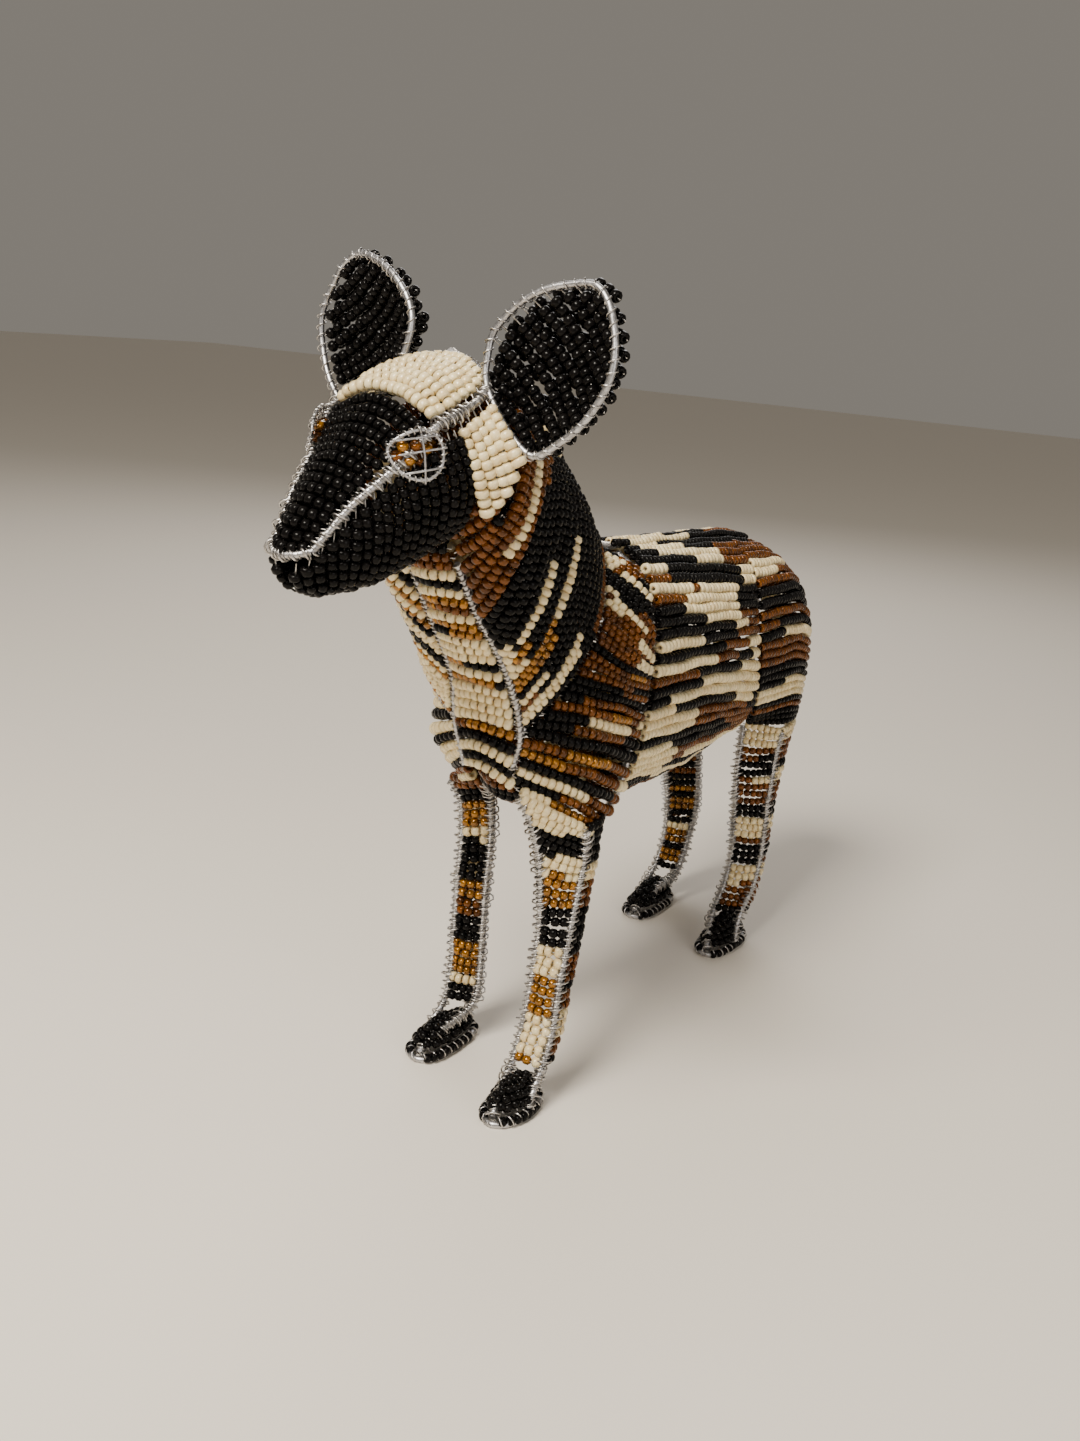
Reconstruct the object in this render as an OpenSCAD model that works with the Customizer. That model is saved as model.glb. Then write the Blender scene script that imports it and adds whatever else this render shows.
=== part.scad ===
// Beaded wire figure of a standing painted wild dog.
// A rigid armature of bent galvanised wire carries panels of glass seed beads
// strung row by row on thin binding wire from one armature wire to the next.
// Frame: +X towards the nose, +Y the dog's left, +Z up, origin on the standing
// plane under the middle of the body.  Millimetres.

/* [Overall size] */
// nose to rump length
figure_length = 313; // [250:1:380]
// standing height to the ear tips
figure_height = 264; // [210:1:320]
// width over the shoulders and hips
body_width = 62; // [50:1:75]

/* [Wire] */
// diameter of the armature wire
frame_wire = 2.2; // [1.6:0.1:2.8]
// diameter of the ear and eye rim wire
rim_wire = 2.0; // [1.4:0.1:2.6]

/* [Beads] */
// diameter of one seed bead, the thickness of every beaded panel
bead_d = 3.4; // [2.6:0.1:4.2]
// space kept between a panel edge and the middle of its wire
edge_gap = 1.8; // [1.4:0.1:2.6]
// distance between the front and back nets of an ear
ear_layer_step = 4.2; // [3.6:0.1:6]

/* [Pose] */
// turn of the head towards the dog's right
head_turn = 8; // [0:1:14]
// sideways tilt of the head
head_tilt = 3; // [0:1:6]

/* [Hidden] */

wire_col = [0.72, 0.73, 0.75];
black_col = [0.06, 0.06, 0.07];
cream_col = [0.88, 0.83, 0.68];
brown_col = [0.36, 0.18, 0.05];

sx = figure_length / 313;
sy = body_width / 62;
sz = figure_height / 264;
wr = frame_wire / 2;
rr = rim_wire / 2;
// edge gaps kept where the two beaded faces of a leg turn the sharp corner at its outer wire,
// so that faces a bead thick stay clear of each other
leg_corner = (edge_gap + 0.6 * bead_d) / edge_gap;

// ---- splines ------------------------------------------------------------
function fit(P) = [for (p = P) [p[0] * sx, p[1] * sy, p[2] * sz]];
// the same route moved towards the middle of the body, to lie under the bead rows
function sunk(P, d) = [for (p = P)
  [p[0], p[1] - d * min(1, p[1] / (8 * sy)), p[2] - (p[1] < 12 * sy ? d * 0.8 : 0)]];
function mir(P) = [for (p = P) [p[0], -p[1], p[2]]];
function cat(a, b, c, d, t) =
  0.5 * (2 * b + (c - a) * t + (2 * a - 5 * b + 4 * c - d) * t * t
  + (3 * b - 3 * c + d - a) * t * t * t);
function at(P, u) = let (
    n = len(P) - 1,
    s = min(max(u, 0), 1) * n,
    i = min(floor(s), n - 1),
    b = P[i],
    c = P[i + 1],
    a = i > 0 ? P[i - 1] : 2 * b - c,
    d = i + 2 <= n ? P[i + 2] : 2 * c - b
  ) cat(a, b, c, d, s - i);
function loop_at(P, u) = let (
    n = len(P),
    s = u * n,
    i = floor(s)
  ) cat(P[(i + n - 1) % n], P[i % n], P[(i + 1) % n], P[(i + 2) % n], s - i);
function unit(v) = v / max(norm(v), 0.0001);

// ---- closed solids ------------------------------------------------------
// round wire along a spline, six flats
module wire(P, r, seg, ref, sides = 6) {
  pts = [for (i = [0:seg]) at(P, i / seg)];
  tan = [for (i = [0:seg]) unit(pts[min(i + 1, seg)] - pts[max(i - 1, 0)])];
  V = [for (i = [0:seg]) let (a = unit(cross(tan[i], ref)), b = cross(a, tan[i]))
      for (k = [0:sides - 1]) pts[i] + r * (cos(360 * (k + 0.5) / sides) * a
      + sin(360 * (k + 0.5) / sides) * b)];
  F = [for (i = [0:seg - 1]) for (k = [0:sides - 1]) for (h = [0:1]) let (
      p = i * sides + k,
      q = i * sides + (k + 1) % sides
    ) h == 0 ? [p, q, q + sides] : [p, q + sides, p + sides]];
  A = [for (k = [1:sides - 2]) [0, k + 1, k]];
  B = [for (k = [1:sides - 2]) [seg * sides, seg * sides + k, seg * sides + k + 1]];
  polyhedron(V, concat(F, A, B), convexity = 6);
}

// closed wire loop
module ring(P, r, seg, ref, sides = 6, turn = 0.5) {
  pts = [for (i = [0:seg - 1]) loop_at(P, i / seg)];
  V = [for (i = [0:seg - 1]) let (
      t = unit(pts[(i + 1) % seg] - pts[(i + seg - 1) % seg]),
      a = unit(cross(t, ref)),
      b = cross(a, t)
    ) for (k = [0:sides - 1]) pts[i] + r * (cos(360 * (k + turn) / sides) * a
      + sin(360 * (k + turn) / sides) * b)];
  F = [for (i = [0:seg - 1]) for (k = [0:sides - 1]) for (h = [0:1]) let (
      j = (i + 1) % seg,
      p = i * sides + k,
      q = i * sides + (k + 1) % sides,
      p2 = j * sides + k,
      q2 = j * sides + (k + 1) % sides
    ) h == 0 ? [p, q, q2] : [p, q2, p2]];
  polyhedron(V, F, convexity = 6);
}

// beaded panel: a sheet one bead thick through a row of section curves.
// u runs along every section, v from the first section to the last;
// the bead rows of the real panel run along v.
function sheet_at(S, u, v) = at([for (c = S) at(c, u)], v);
function sheet_normal(S, u, v) = let (
    e = 0.02,
    du = sheet_at(S, min(u + e, 1), v) - sheet_at(S, max(u - e, 0), v),
    dv = sheet_at(S, u, min(v + e, 1)) - sheet_at(S, u, max(v - e, 0))
  ) unit(cross(dv, du));
module sheet(S, nu, nv, v_in = 1, v_out = 1, u_in = 0, u_out = 0, flip = 1) {
  h = bead_d / 2;
  V = [for (i = [0:nu]) let (u = u_in + (1 - u_in - u_out) * i / nu)
      let (
        ends = [for (c = S) at(c, u)],
        m = len(ends) - 1,
        g0 = v_in * edge_gap / max(norm(ends[1] - ends[0]) * m, edge_gap * 2.5),
        g1 = v_out * edge_gap / max(norm(ends[m] - ends[m - 1]) * m, edge_gap * 2.5)
      )
      for (j = [0:nv]) let (v = g0 + (1 - g0 - g1) * j / nv)
      for (s = [0:1]) sheet_at(S, u, v)
        + (s == 0 ? h : -h) * flip * sheet_normal(S, u, v)];
  w = 2 * (nv + 1);
  top = [for (i = [0:nu - 1]) for (j = [0:nv - 1]) for (k = [0:1]) let (p = i * w + 2 * j)
      k == 0 ? [p, p + 2, p + w + 2] : [p, p + w + 2, p + w]];
  bot = [for (f = top) [f[0] + 1, f[2] + 1, f[1] + 1]];
  e1 = [for (j = [0:nv - 1]) for (k = [0:1]) let (p = 2 * j)
      k == 0 ? [p, p + 1, p + 3] : [p, p + 3, p + 2]];
  e2 = [for (j = [0:nv - 1]) for (k = [0:1]) let (p = nu * w + 2 * j)
      k == 0 ? [p, p + 3, p + 1] : [p, p + 2, p + 3]];
  e3 = [for (i = [0:nu - 1]) for (k = [0:1]) let (p = i * w)
      k == 0 ? [p, p + w + 1, p + 1] : [p, p + w, p + w + 1]];
  e4 = [for (i = [0:nu - 1]) for (k = [0:1]) let (p = i * w + 2 * nv)
      k == 0 ? [p, p + 1, p + w + 1] : [p, p + w + 1, p + w]];
  F = concat(top, bot, e1, e2, e3, e4);
  polyhedron(V, flip > 0 ? F : [for (f = F) [f[0], f[2], f[1]]], convexity = 8);
}

module both() {
  children();
  mirror([0, 1, 0]) children();
}
// the head is made symmetrical and then turned and tilted on the neck
pivot = [130 * sx, 0, 200 * sz];
module head() {
  translate(pivot)
    rotate([0, 0, -head_turn])
      rotate([-head_tilt, 0, 0])
        translate(-pivot) children();
}

// ---- route points, left side --------------------------------------------
// head, before it is turned
seam = fit([[182, 7, 190.5], [178.5, 8.5, 195.5], [173.5, 10.8, 202.5], [167, 13.5, 209],
  [160.5, 16.5, 216], [155, 18.8, 223], [147, 18.6, 226.5], [139, 18, 230], [133.5, 16.5, 234]]);
nose = fit([[182, 6.6, 190.5], [184.8, 4.2, 189.4], [186, 0, 188.8], [184.8, -4.2, 189.4],
  [182, -6.6, 190.5]]);
bridge_mid = fit([[187, 0, 188.5], [182.5, 0, 197], [175.5, 0, 206], [168.5, 0, 214.5],
  [161, 0, 222.5], [154.5, 0, 229.5]]);
bridge_side = fit([[182, 7, 190.5], [178, 8.7, 196.2], [172, 11.5, 204.2], [165.5, 14.2, 211],
  [160, 16.8, 217.5], [155, 18.8, 223]]);
crown_front = fit([[155, 18.8, 223], [156, 14, 226.6], [155.3, 7, 229.2], [154.5, 0, 229.5],
  [155.3, -7, 229.2], [156, -14, 226.6], [155, -18.8, 223]]);
crown_mid = fit([[144, 18.4, 228], [144, 14, 232.6], [143.5, 7, 235.6], [143, 0, 236.4],
  [143.5, -7, 235.6], [144, -14, 232.6], [144, -18.4, 228]]);
crown_back = fit([[133.5, 16.5, 234], [131.5, 12, 237], [130, 6, 239], [129, 0, 239.4],
  [130, -6, 239], [131.5, -12, 237], [133.5, -16.5, 234]]);
cheek_top = fit([[185.4, 1, 186.8], [183, 5.8, 188], [178, 8.6, 194.4], [172, 11.4, 202.6],
  [165.5, 14.4, 209.8], [160, 17.2, 216], [152.5, 19.6, 221.6], [147, 20, 223.4]]);
cheek_side = fit([[184.4, 1, 183.6], [182.4, 4.8, 184], [178, 8, 187.5], [171.5, 12.4, 192],
  [163, 16.2, 197.6], [155, 19.4, 203], [147, 22, 207.6], [141, 23.6, 210.6]]);
cheek_low = fit([[181.8, 1, 180.8], [179.8, 4, 180.2], [175.6, 6.8, 180.6],
  [169.6, 9.2, 182], [161, 11.6, 184.4], [152, 13.8, 189.2],
  [144.5, 15.8, 193.8], [138.5, 17.4, 197.4]]);
chin_mid = fit([[180.8, 0.6, 179.8], [178.8, 0.4, 178.8], [175, 0, 178], [169, 0, 178.2],
  [160.5, 0, 180], [151, 0, 184.2], [144, 0, 188], [138, 0, 190.6]]);
ear = fit([[134, 16, 235], [133, 14.7, 241], [132, 14.8, 247], [131, 17.8, 252],
  [130.5, 22.5, 256.4], [129.5, 29, 260], [128, 36, 262], [127.5, 42.5, 262.5],
  [128, 47.5, 259], [128.5, 50.8, 253], [129.3, 52.6, 247.5], [130, 53, 242],
  [130.5, 51.2, 236], [131.5, 47.3, 229], [132.5, 42, 223.6], [133.5, 34.5, 218.6],
  [134.5, 27.5, 222.5], [134.5, 21, 228.5]]);
ear_in = fit([[134.2, 18.5, 232.3], [133, 15.2, 241], [131.6, 16.2, 250], [130.4, 23, 257],
  [128.6, 32, 261], [127.6, 40, 262.2]]);
ear_mid = fit([[131.5, 26.5, 226.5], [128.5, 29.5, 233.5], [127, 33, 241.5], [126.5, 37, 249],
  [126.5, 40.5, 255], [127.5, 43, 259]]);
ear_out = fit([[133.5, 34.5, 219.5], [132, 44, 225.6], [130.6, 50.8, 235], [129.5, 52.8, 245],
  [128.6, 51.2, 252], [128, 47, 259]]);
eye_loop = fit([[166, 14, 217], [162.5, 16.6, 221.5], [157, 18.8, 222.5], [153.5, 20.6, 219.5],
  [153.5, 21.4, 214], [157.5, 20.6, 210.5], [163, 17.4, 211.5]]);
temple_top = fit([[148, 19.6, 224.5], [144.5, 19.6, 226.5], [141, 19.4, 228.4], [137.8, 19.2, 230.2],
  [136, 20.5, 230.6]]);
temple_mid = fit([[144, 23.5, 212], [141, 24.8, 214.6], [138.5, 25.8, 218.6], [137.2, 26.4, 222.6],
  [136.8, 27.2, 225]]);
temple_low = fit([[139.5, 25, 199.5], [136.5, 27, 203.5], [134.5, 29, 208.5], [134.3, 31, 214],
  [135.6, 32.6, 219]]);

// neck
nape = fit([[124, 0, 237.5], [110, 0, 232.6], [95, 0, 225.4], [79, 0, 215], [59, 0, 199.6],
  [34, 0, 180.2]]);
neck_high = fit([[122.5, 10.5, 233.5], [109.5, 10.2, 228.4], [96.5, 10, 221], [81.5, 9.8, 210.4],
  [63, 9.5, 195.8], [41, 6, 176.6]]);
neck_upper = fit([[124, 22, 220], [112, 20.5, 214], [101.5, 19, 206.4], [87.5, 17.8, 195.6],
  [71.5, 17, 181.4], [53, 13.5, 165.6]]);
neck_side = fit([[131, 25.6, 204], [121.5, 23.8, 195.4], [110.5, 22, 186.4], [97, 20.8, 176.6],
  [83, 20, 165], [68, 19, 153.4]]);
neck_low = fit([[132.6, 18.6, 192], [125, 18, 181], [114.5, 17.6, 170.4], [102.5, 17.6, 160],
  [91.5, 17.8, 149.6], [82, 17.8, 141]]);
seam_neck = fit([[131, 8.6, 184.4], [121.2, 9.4, 170], [111.6, 10.4, 158.4], [103.4, 11, 148],
  [97.4, 11.8, 137], [94.6, 12.4, 127.6]]);
chest_seam = fit([[131, 8.5, 184], [120.5, 9, 169.3], [111.8, 10, 159], [104.6, 10.6, 150],
  [99, 11, 141], [96.2, 12, 133], [94.2, 12, 125], [93.4, 10, 118], [93, 8.5, 112.5]]);
throat_mid = fit([[135, 0, 183.4], [124, 0, 168], [115.4, 0, 157], [108.4, 0, 148],
  [102.8, 0, 139.5], [99.6, 0, 131], [98, 0, 123.4], [97, 0, 117], [96, 0, 112]]);
neck_base = fit([[35.5, 2, 179.4], [45, 9, 173], [54, 14.5, 164.5], [63, 18, 157.5],
  [73, 19.2, 150], [81.5, 18, 141.5], [88.5, 15.5, 134], [94.5, 12.5, 127.5]]);

// the far side of the neck is fuller
neck_upper_far = fit([[124, -22, 220], [112.5, -21, 214], [102.5, -20.5, 206.4], [89, -19.8, 195.6],
  [73.5, -19.5, 181.4], [55.5, -16.5, 165.6]]);
neck_side_far = fit([[131, -25.6, 204], [122.5, -25.4, 195.4], [112.5, -25.2, 186.4],
  [100.5, -25.4, 176.6], [88, -25.8, 165], [74, -23.4, 153.8]]);
neck_low_far = fit([[132.6, -18.6, 192], [126.5, -20.2, 181], [118, -21.8, 170.4],
  [107.5, -23.6, 160], [98.5, -25.2, 149.6], [91.5, -25.8, 141]]);
neck_base_far = fit([[35.5, -2, 179.4], [46, -10, 173], [57, -17, 164.5], [68.5, -21.6, 157.5],
  [81, -25, 149], [90.5, -25.2, 141.5], [94, -20.5, 134], [94.5, -12.5, 127.5]]);

// shoulder, flank and rump
shoulder_a = fit([[34, 0.8, 180], [43, 7.5, 174.5], [53, 14, 165.5], [67, 18.8, 154.6],
  [82, 17.8, 141], [94.5, 12.4, 127.4], [93.6, 10, 118], [93, 8.8, 112.5], [89, 15, 101]]);
shoulder_m = fit([[29, 4, 178.6], [36, 14, 172.5], [46, 23, 160.5], [55, 26.5, 145],
  [66, 26.8, 130.5], [74, 25.6, 117.5], [75.5, 24.6, 108.5], [77, 24.2, 103.2], [81, 24.6, 97]]);
shoulder_b = fit([[23, 5, 177.2], [29, 17, 169.8], [36, 26.2, 156], [40, 28.6, 140],
  [43.5, 28.8, 124], [47, 27.8, 108], [53, 27.2, 98.5], [62, 27.8, 94.4], [74, 29, 93]]);
// the far shoulder is shorter, because that foreleg stands further back
shoulder_a_far = fit([[34, -0.8, 180], [45, -9.5, 174.5], [57, -17, 165.5], [74, -23, 154.6],
  [90.5, -25.5, 141], [94.5, -12.4, 127.4], [92.6, -10, 119],
  [88.5, -9.6, 112], [79, -12.6, 104]]);
shoulder_m_far = fit([[29, -4, 178.6], [36, -14, 172.5], [48, -24, 160.5], [61, -28, 146],
  [74, -29, 131], [83, -26.8, 118.5], [79.5, -23.4, 110],
  [75.5, -22.4, 104.6], [71, -22.4, 99.6]]);
shoulder_b_far = fit([[23, -5, 177.2], [29, -17, 169.8], [36, -26.2, 156], [40, -28.6, 140], [43, -28.8, 124],
  [45.5, -27.8, 109], [49, -27.2, 100.5], [55, -27.6, 97], [62, -28, 96]]);
brisket_far = fit([[86, -6.5, 110.4], [77, -11, 104], [64, -14.6, 98.4], [48, -14, 94.4]]);
flank_a = fit([[21, 0, 178.4], [22.5, 8, 176.6], [27, 17, 170.4], [33, 25.4, 157.6],
  [37.4, 28.4, 141], [41, 28.6, 124.6], [44.4, 26.8, 109], [45, 20, 98.5], [45, 10, 94.5],
  [45, 0, 93.6]]);
flank_m = fit([[-20, 0, 177], [-19, 9, 175], [-17, 17.5, 170.2], [-14, 25.4, 159],
  [-12, 29.4, 145], [-12, 29.8, 129], [-13, 27.2, 112], [-17, 20, 98], [-20, 9.5, 90.6],
  [-20, 0, 89.6]]);
flank_b = fit([[-66, 0, 175.4], [-63.5, 9, 173.4], [-59, 17, 168.6], [-54, 24.4, 159],
  [-50.5, 28.4, 146], [-54, 28.8, 130], [-60.5, 27, 115], [-69, 20.5, 103], [-78, 10, 96.6],
  [-80, 0, 95.4]]);
hip = fit([[-62, 11, 172.4], [-58.5, 18, 168], [-54, 24.4, 159], [-50.5, 28.4, 146],
  [-54, 28.8, 130], [-60.5, 27, 115], [-69, 22, 104], [-79, 16.6, 98]]);
shoulder_wire = fit([[22, 3, 178], [25.5, 13, 173.4], [32, 22.6, 162.4], [37, 27.6, 148],
  [41, 28.8, 132], [45, 28.2, 115], [49.5, 27.4, 102], [58, 27.4, 95]]);
rump_a = fit([[-68, 0, 175.4], [-62.5, 14, 170.6], [-56, 25, 158], [-54, 29, 142],
  [-59.5, 28.6, 125.6], [-67, 25.4, 110], [-81, 18, 98]]);
rump_m = fit([[-91, 0, 172], [-92, 14.4, 168], [-92, 24.6, 158.6], [-92.5, 29.6, 145.6],
  [-93.5, 31, 130], [-94.5, 30.8, 114], [-96, 29.4, 97.6]]);
rump_b = fit([[-107, 0, 163], [-109, 11, 160], [-110.5, 20, 151.4], [-112, 24.6, 141],
  [-113.5, 26.6, 128], [-114.5, 27, 113], [-112, 26.4, 97.6]]);
rump_end = fit([[-110, 0.6, 160.6], [-115, 1.4, 154], [-118.4, 2, 146.4], [-120.6, 2.6, 137],
  [-121.6, 4, 126], [-121.4, 8, 112], [-119, 13, 98]]);
spine = fit([[129, 0, 240.6], [118, 0, 236.4], [102, 0, 229.8], [86, 0, 221], [70, 0, 209],
  [52, 0, 194.4], [36, 0, 181.4], [20, 0, 178.6], [0, 0, 177.8], [-30, 0, 176.8],
  [-66, 0, 175.6], [-91, 0, 172], [-107, 0, 163.4], [-117, 0, 150.4], [-121.4, 0, 137],
  [-122.4, 0, 124]]);
brisket_edge = fit([[90, 6.5, 111], [82, 13, 102.6], [66, 16, 97.4], [48, 14, 94.4]]);
brisket_mid = fit([[92, 0, 111.4], [82, 0, 102], [66, 0, 97], [48, 0, 93.8]]);
groin_edge = fit([[-83, 13, 97], [-94, 14, 98.6], [-106, 13, 99], [-117, 11, 98.6]]);
groin_mid = fit([[-83, 0, 96], [-94, 0, 98.4], [-106, 0, 100], [-118.6, 0, 101]]);

// legs, each as inner-front, outer-front and rear wires from the body down
fl_in = fit([[91.5, 12, 106.5], [87.5, 15.5, 96], [82.5, 17, 79], [79.5, 17, 60], [81, 17, 42],
  [84.5, 17, 26], [89.5, 17, 13.5]]);
fl_out = fit([[77, 29, 95.5], [73.5, 27.8, 88], [73, 26.8, 76], [76, 26.6, 60], [80, 26.8, 42],
  [83, 27.4, 26], [87.5, 27, 13.5]]);
fl_rear = fit([[60, 25, 96], [61, 24, 88], [61, 23, 76], [64, 23, 60], [68, 23, 42],
  [72.5, 23, 26], [78.5, 22.4, 13.5]]);
fr_in = mir(fit([[74, 12, 102], [66, 14.5, 94], [62.5, 15, 78], [63, 15, 60], [63, 15, 42],
  [62.5, 15, 26], [64.5, 15.6, 13.5]]));
fr_out = mir(fit([[70, 28, 97.5], [66.5, 26, 90], [66, 24.6, 76], [66, 25, 60], [65, 25.4, 42],
  [64.5, 25.8, 26], [67, 26, 13.5]]));
fr_rear = mir(fit([[55, 23.5, 97], [53, 23, 90], [52.5, 22, 76], [53, 22, 60], [53.5, 22, 42],
  [53.5, 22, 26], [56, 22, 13.5]]));
rl_in = fit([[-82, 16, 96.4], [-80, 16.8, 86], [-79.5, 17, 74], [-82, 17, 60], [-85.5, 17, 42],
  [-82.5, 17, 26], [-73, 17, 14.5]]);
rl_out = fit([[-93, 29.4, 94], [-91, 29, 86], [-90, 28.8, 74], [-90, 28.4, 60], [-92, 28, 42],
  [-88, 28, 26], [-78, 27.4, 14.5]]);
rl_rear = fit([[-116, 24, 95], [-112, 24, 86], [-106, 24, 74], [-102, 24, 60], [-101, 23.6, 42],
  [-97.5, 23, 26], [-91, 22, 14.5]]);
rr_in = mir(fit([[-102, 13, 96.4], [-106, 14, 86], [-110, 15, 74], [-113.5, 15, 60],
  [-116.5, 15, 42], [-111, 15, 26], [-104, 15.4, 14.5]]));
rr_out = mir(fit([[-97, 28, 94], [-99, 26.6, 86], [-101, 26, 74], [-103.5, 26, 60],
  [-109.5, 26, 42], [-109.5, 26, 26], [-103, 26, 14.5]]));
rr_rear = mir(fit([[-119, 22, 95], [-119, 20.6, 86], [-120, 20, 74], [-122.5, 19.6, 60],
  [-126, 19.6, 42], [-122, 20, 26], [-115.5, 20, 14.5]]));

// feet: toe, heel and middle line of each sole
feet = [[108, 82, 21.5], [90, 58, -21.2], [-59, -91, 21.6], [-73, -106, -21]];

// the three wires of a leg run on below the ankle and rest on the sole loop
module leg_wires(in, out, rear, f) {
  toe = f[0] * sx;
  heel = f[1] * sx;
  y = f[2] * sy;
  s = y > 0 ? 1 : -1;
  z = 2.75 * wr;
  wire(concat(in, [[in[6][0] + (toe - in[6][0]) * 0.55, (in[6][1] + y) / 2, in[6][2] * 0.62],
    [toe - 1, y, z]]), wr, 18, [0, 1, 0]);
  wire(concat(out, [[(out[6][0] + toe + heel) / 3 + 1, y + 6.1 * sy * s, z + 3],
    [(toe + heel) / 2, y + 6.2 * sy * s, z]]), wr, 18, [1, 0, 0]);
  wire(concat(rear, [[(rear[6][0] + heel) / 2, (rear[6][1] + y) / 2, z + 4],
    [heel, y, z]]), wr, 18, [0, 1, 0]);
}
module leg_beads(in, out, rear) {
  s = in[2][1] > 0 ? 1 : -1;
  front_bow = [for (i = [0:6]) (in[i] + out[i]) / 2 + [1.6, 0.6 * s, 0]];
  side_bow = [for (i = [0:6]) (out[i] + rear[i]) / 2 + [0, 2.4 * s, 0]];
  sheet([in, front_bow, out], 10, 4, 1, leg_corner, 0.03, 0.03, s);
  sheet([out, side_bow, rear], 10, 4, leg_corner, 1, 0.03, 0.03, s);
}
module foot_loop(f) {
  toe = f[0] * sx;
  heel = f[1] * sx;
  y = f[2] * sy;
  w = 6.2 * sy;
  z = wr * sin(60);
  ring([[toe, y, z], [toe - 4, y + w * 0.8, z], [(toe + heel) / 2, y + w, z],
    [heel + 4, y + w * 0.8, z], [heel, y, z], [heel + 4, y - w * 0.8, z],
    [(toe + heel) / 2, y - w, z], [toe - 4, y - w * 0.8, z]], wr, 24, [0, 0, 1], 6, 0);
}
module foot_cap(f, ankle) {
  toe = f[0] * sx;
  heel = f[1] * sx;
  y = f[2] * sy;
  w = 6 * sy;
  z0 = 2 * wr + bead_d / 2;
  left = [[toe - 1.5, y + 1.6, z0], [toe - 6, y + w * 0.86, z0], [(toe + heel) / 2, y + w, z0],
    [heel + 5, y + w * 0.8, z0], [heel + 1.5, y + 1.6, z0]];
  right = [for (p = left) [p[0], 2 * y - p[1], p[2]]];
  top = [[toe - 2.5, y, z0 + 2], [toe - 7, y, z0 + 5.4], [(toe + heel) / 2, y, ankle * sz - 4.4],
    [heel + 6, y, ankle * sz - 6], [heel + 2.5, y, z0 + 2]];
  sheet([left, top, right], 10, 6, 0, 0, 0, 0, 1);
}

// ---- sub-parts ----------------------------------------------------------
module spine_wire() {
  color(wire_col) wire(spine, wr, 40, [0, 1, 0]);
}
module chest_seam_wires() {
  color(wire_col) both() wire(chest_seam, wr * 0.75, 20, [0, 1, 0]);
}
module neck_base_hoop() {
  color(wire_col) {
    wire(sunk(neck_base, 1.6), wr, 16, [1, 0, 0.4]);
    mirror([0, 1, 0]) wire(sunk(mir(neck_base_far), 1.6), wr, 16, [1, 0, 0.4]);
  }
}
module shoulder_hoop() {
  color(wire_col) both() wire(sunk(shoulder_wire, 2), wr, 18, [1, 0, 0]);
}
module hip_hoop() {
  color(wire_col) both() wire(sunk(hip, 2), wr, 18, [1, 0, 0]);
}
module face_seam_wires() {
  color(wire_col) head() both() wire(seam, rr, 20, [1, 0, 1]);
}
module nose_loop() {
  color(wire_col) head() wire(nose, rr, 8, [0, 0, 1]);
}
module crown_back_wire() {
  color(wire_col) head() wire(crown_back, rr * 0.8, 14, [1, 0, 0]);
}
module ear_rims() {
  color(wire_col) head() both() ring(ear, rr, 40, [1, 0, 0.2]);
}
module eye_rings() {
  color(wire_col) head() both() ring(eye_loop, rr * 0.6, 16, [0.4, 1, 0.2]);
}
module front_left_leg_wires() {
  color(wire_col) leg_wires(fl_in, fl_out, fl_rear, feet[0]);
}
module front_right_leg_wires() {
  color(wire_col) leg_wires(fr_in, fr_out, fr_rear, feet[1]);
}
module rear_left_leg_wires() {
  color(wire_col) leg_wires(rl_in, rl_out, rl_rear, feet[2]);
}
module rear_right_leg_wires() {
  color(wire_col) leg_wires(rr_in, rr_out, rr_rear, feet[3]);
}
module foot_loops() {
  color(wire_col) for (f = feet) foot_loop(f);
}
module muzzle_top_beads() {
  color(black_col) head() sheet([bridge_side, bridge_mid, mir(bridge_side)], 10, 8, 1, 1, 0.08, 0.06);
}
module lower_face_beads() {
  color(black_col) head() both()
    sheet([cheek_top, cheek_side, cheek_low, chin_mid], 11, 9, 1.2, 0.7, 0.07, 0.02, -1);
}
module crown_beads() {
  color(cream_col) head() sheet([crown_front, crown_mid, crown_back], 10, 4, 1.2, 1.2, 0.05, 0.05, -1);
}
module temple_beads() {
  color(cream_col) head() both() sheet([temple_top, temple_mid, temple_low], 5, 6, 1, 0, 0, 0, -1);
}
module eye_beads() {
  color(brown_col) head() both()
    translate([159.3 * sx, 17.4 * sy, 216.3 * sz]) scale(1) sphere(d = bead_d * 1.6, $fn = 16);
}
module ear_front_beads() {
  color(black_col) head() both() sheet([ear_in, ear_mid, ear_out], 8, 5, 1, 1, 0.05, 0.02);
}
module ear_back_beads() {
  color(black_col) head() both() translate([-ear_layer_step, 0, 0])
    sheet([ear_in, ear_mid, ear_out], 8, 5, 1, 1, 0.05, 0.02);
}
module neck_beads() {
  color(black_col) {
    sheet([nape, neck_high, neck_upper, neck_side, neck_low, seam_neck], 10, 10, 1.5, 1, 0, 0.05, 1);
    sheet([nape, mir(neck_high), neck_upper_far, neck_side_far, neck_low_far, mir(seam_neck)],
      10, 10, 1.5, 1, 0, 0.05, -1);
  }
}
module throat_beads() {
  color(cream_col) sheet([chest_seam, throat_mid, mir(chest_seam)], 12, 4, 1, 1, 0, 0.01);
}
module shoulder_beads() {
  color(brown_col) {
    sheet([shoulder_a, shoulder_m, shoulder_b], 14, 6, 1, 1, 0, 0, -1);
    sheet([shoulder_a_far, shoulder_m_far, shoulder_b_far], 14, 6, 1, 1, 0, 0, 1);
  }
}
module flank_beads() {
  color(brown_col) both() sheet([flank_a, flank_m, flank_b], 14, 7, 1, 1, 0.03, 0.01, -1);
}
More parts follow.
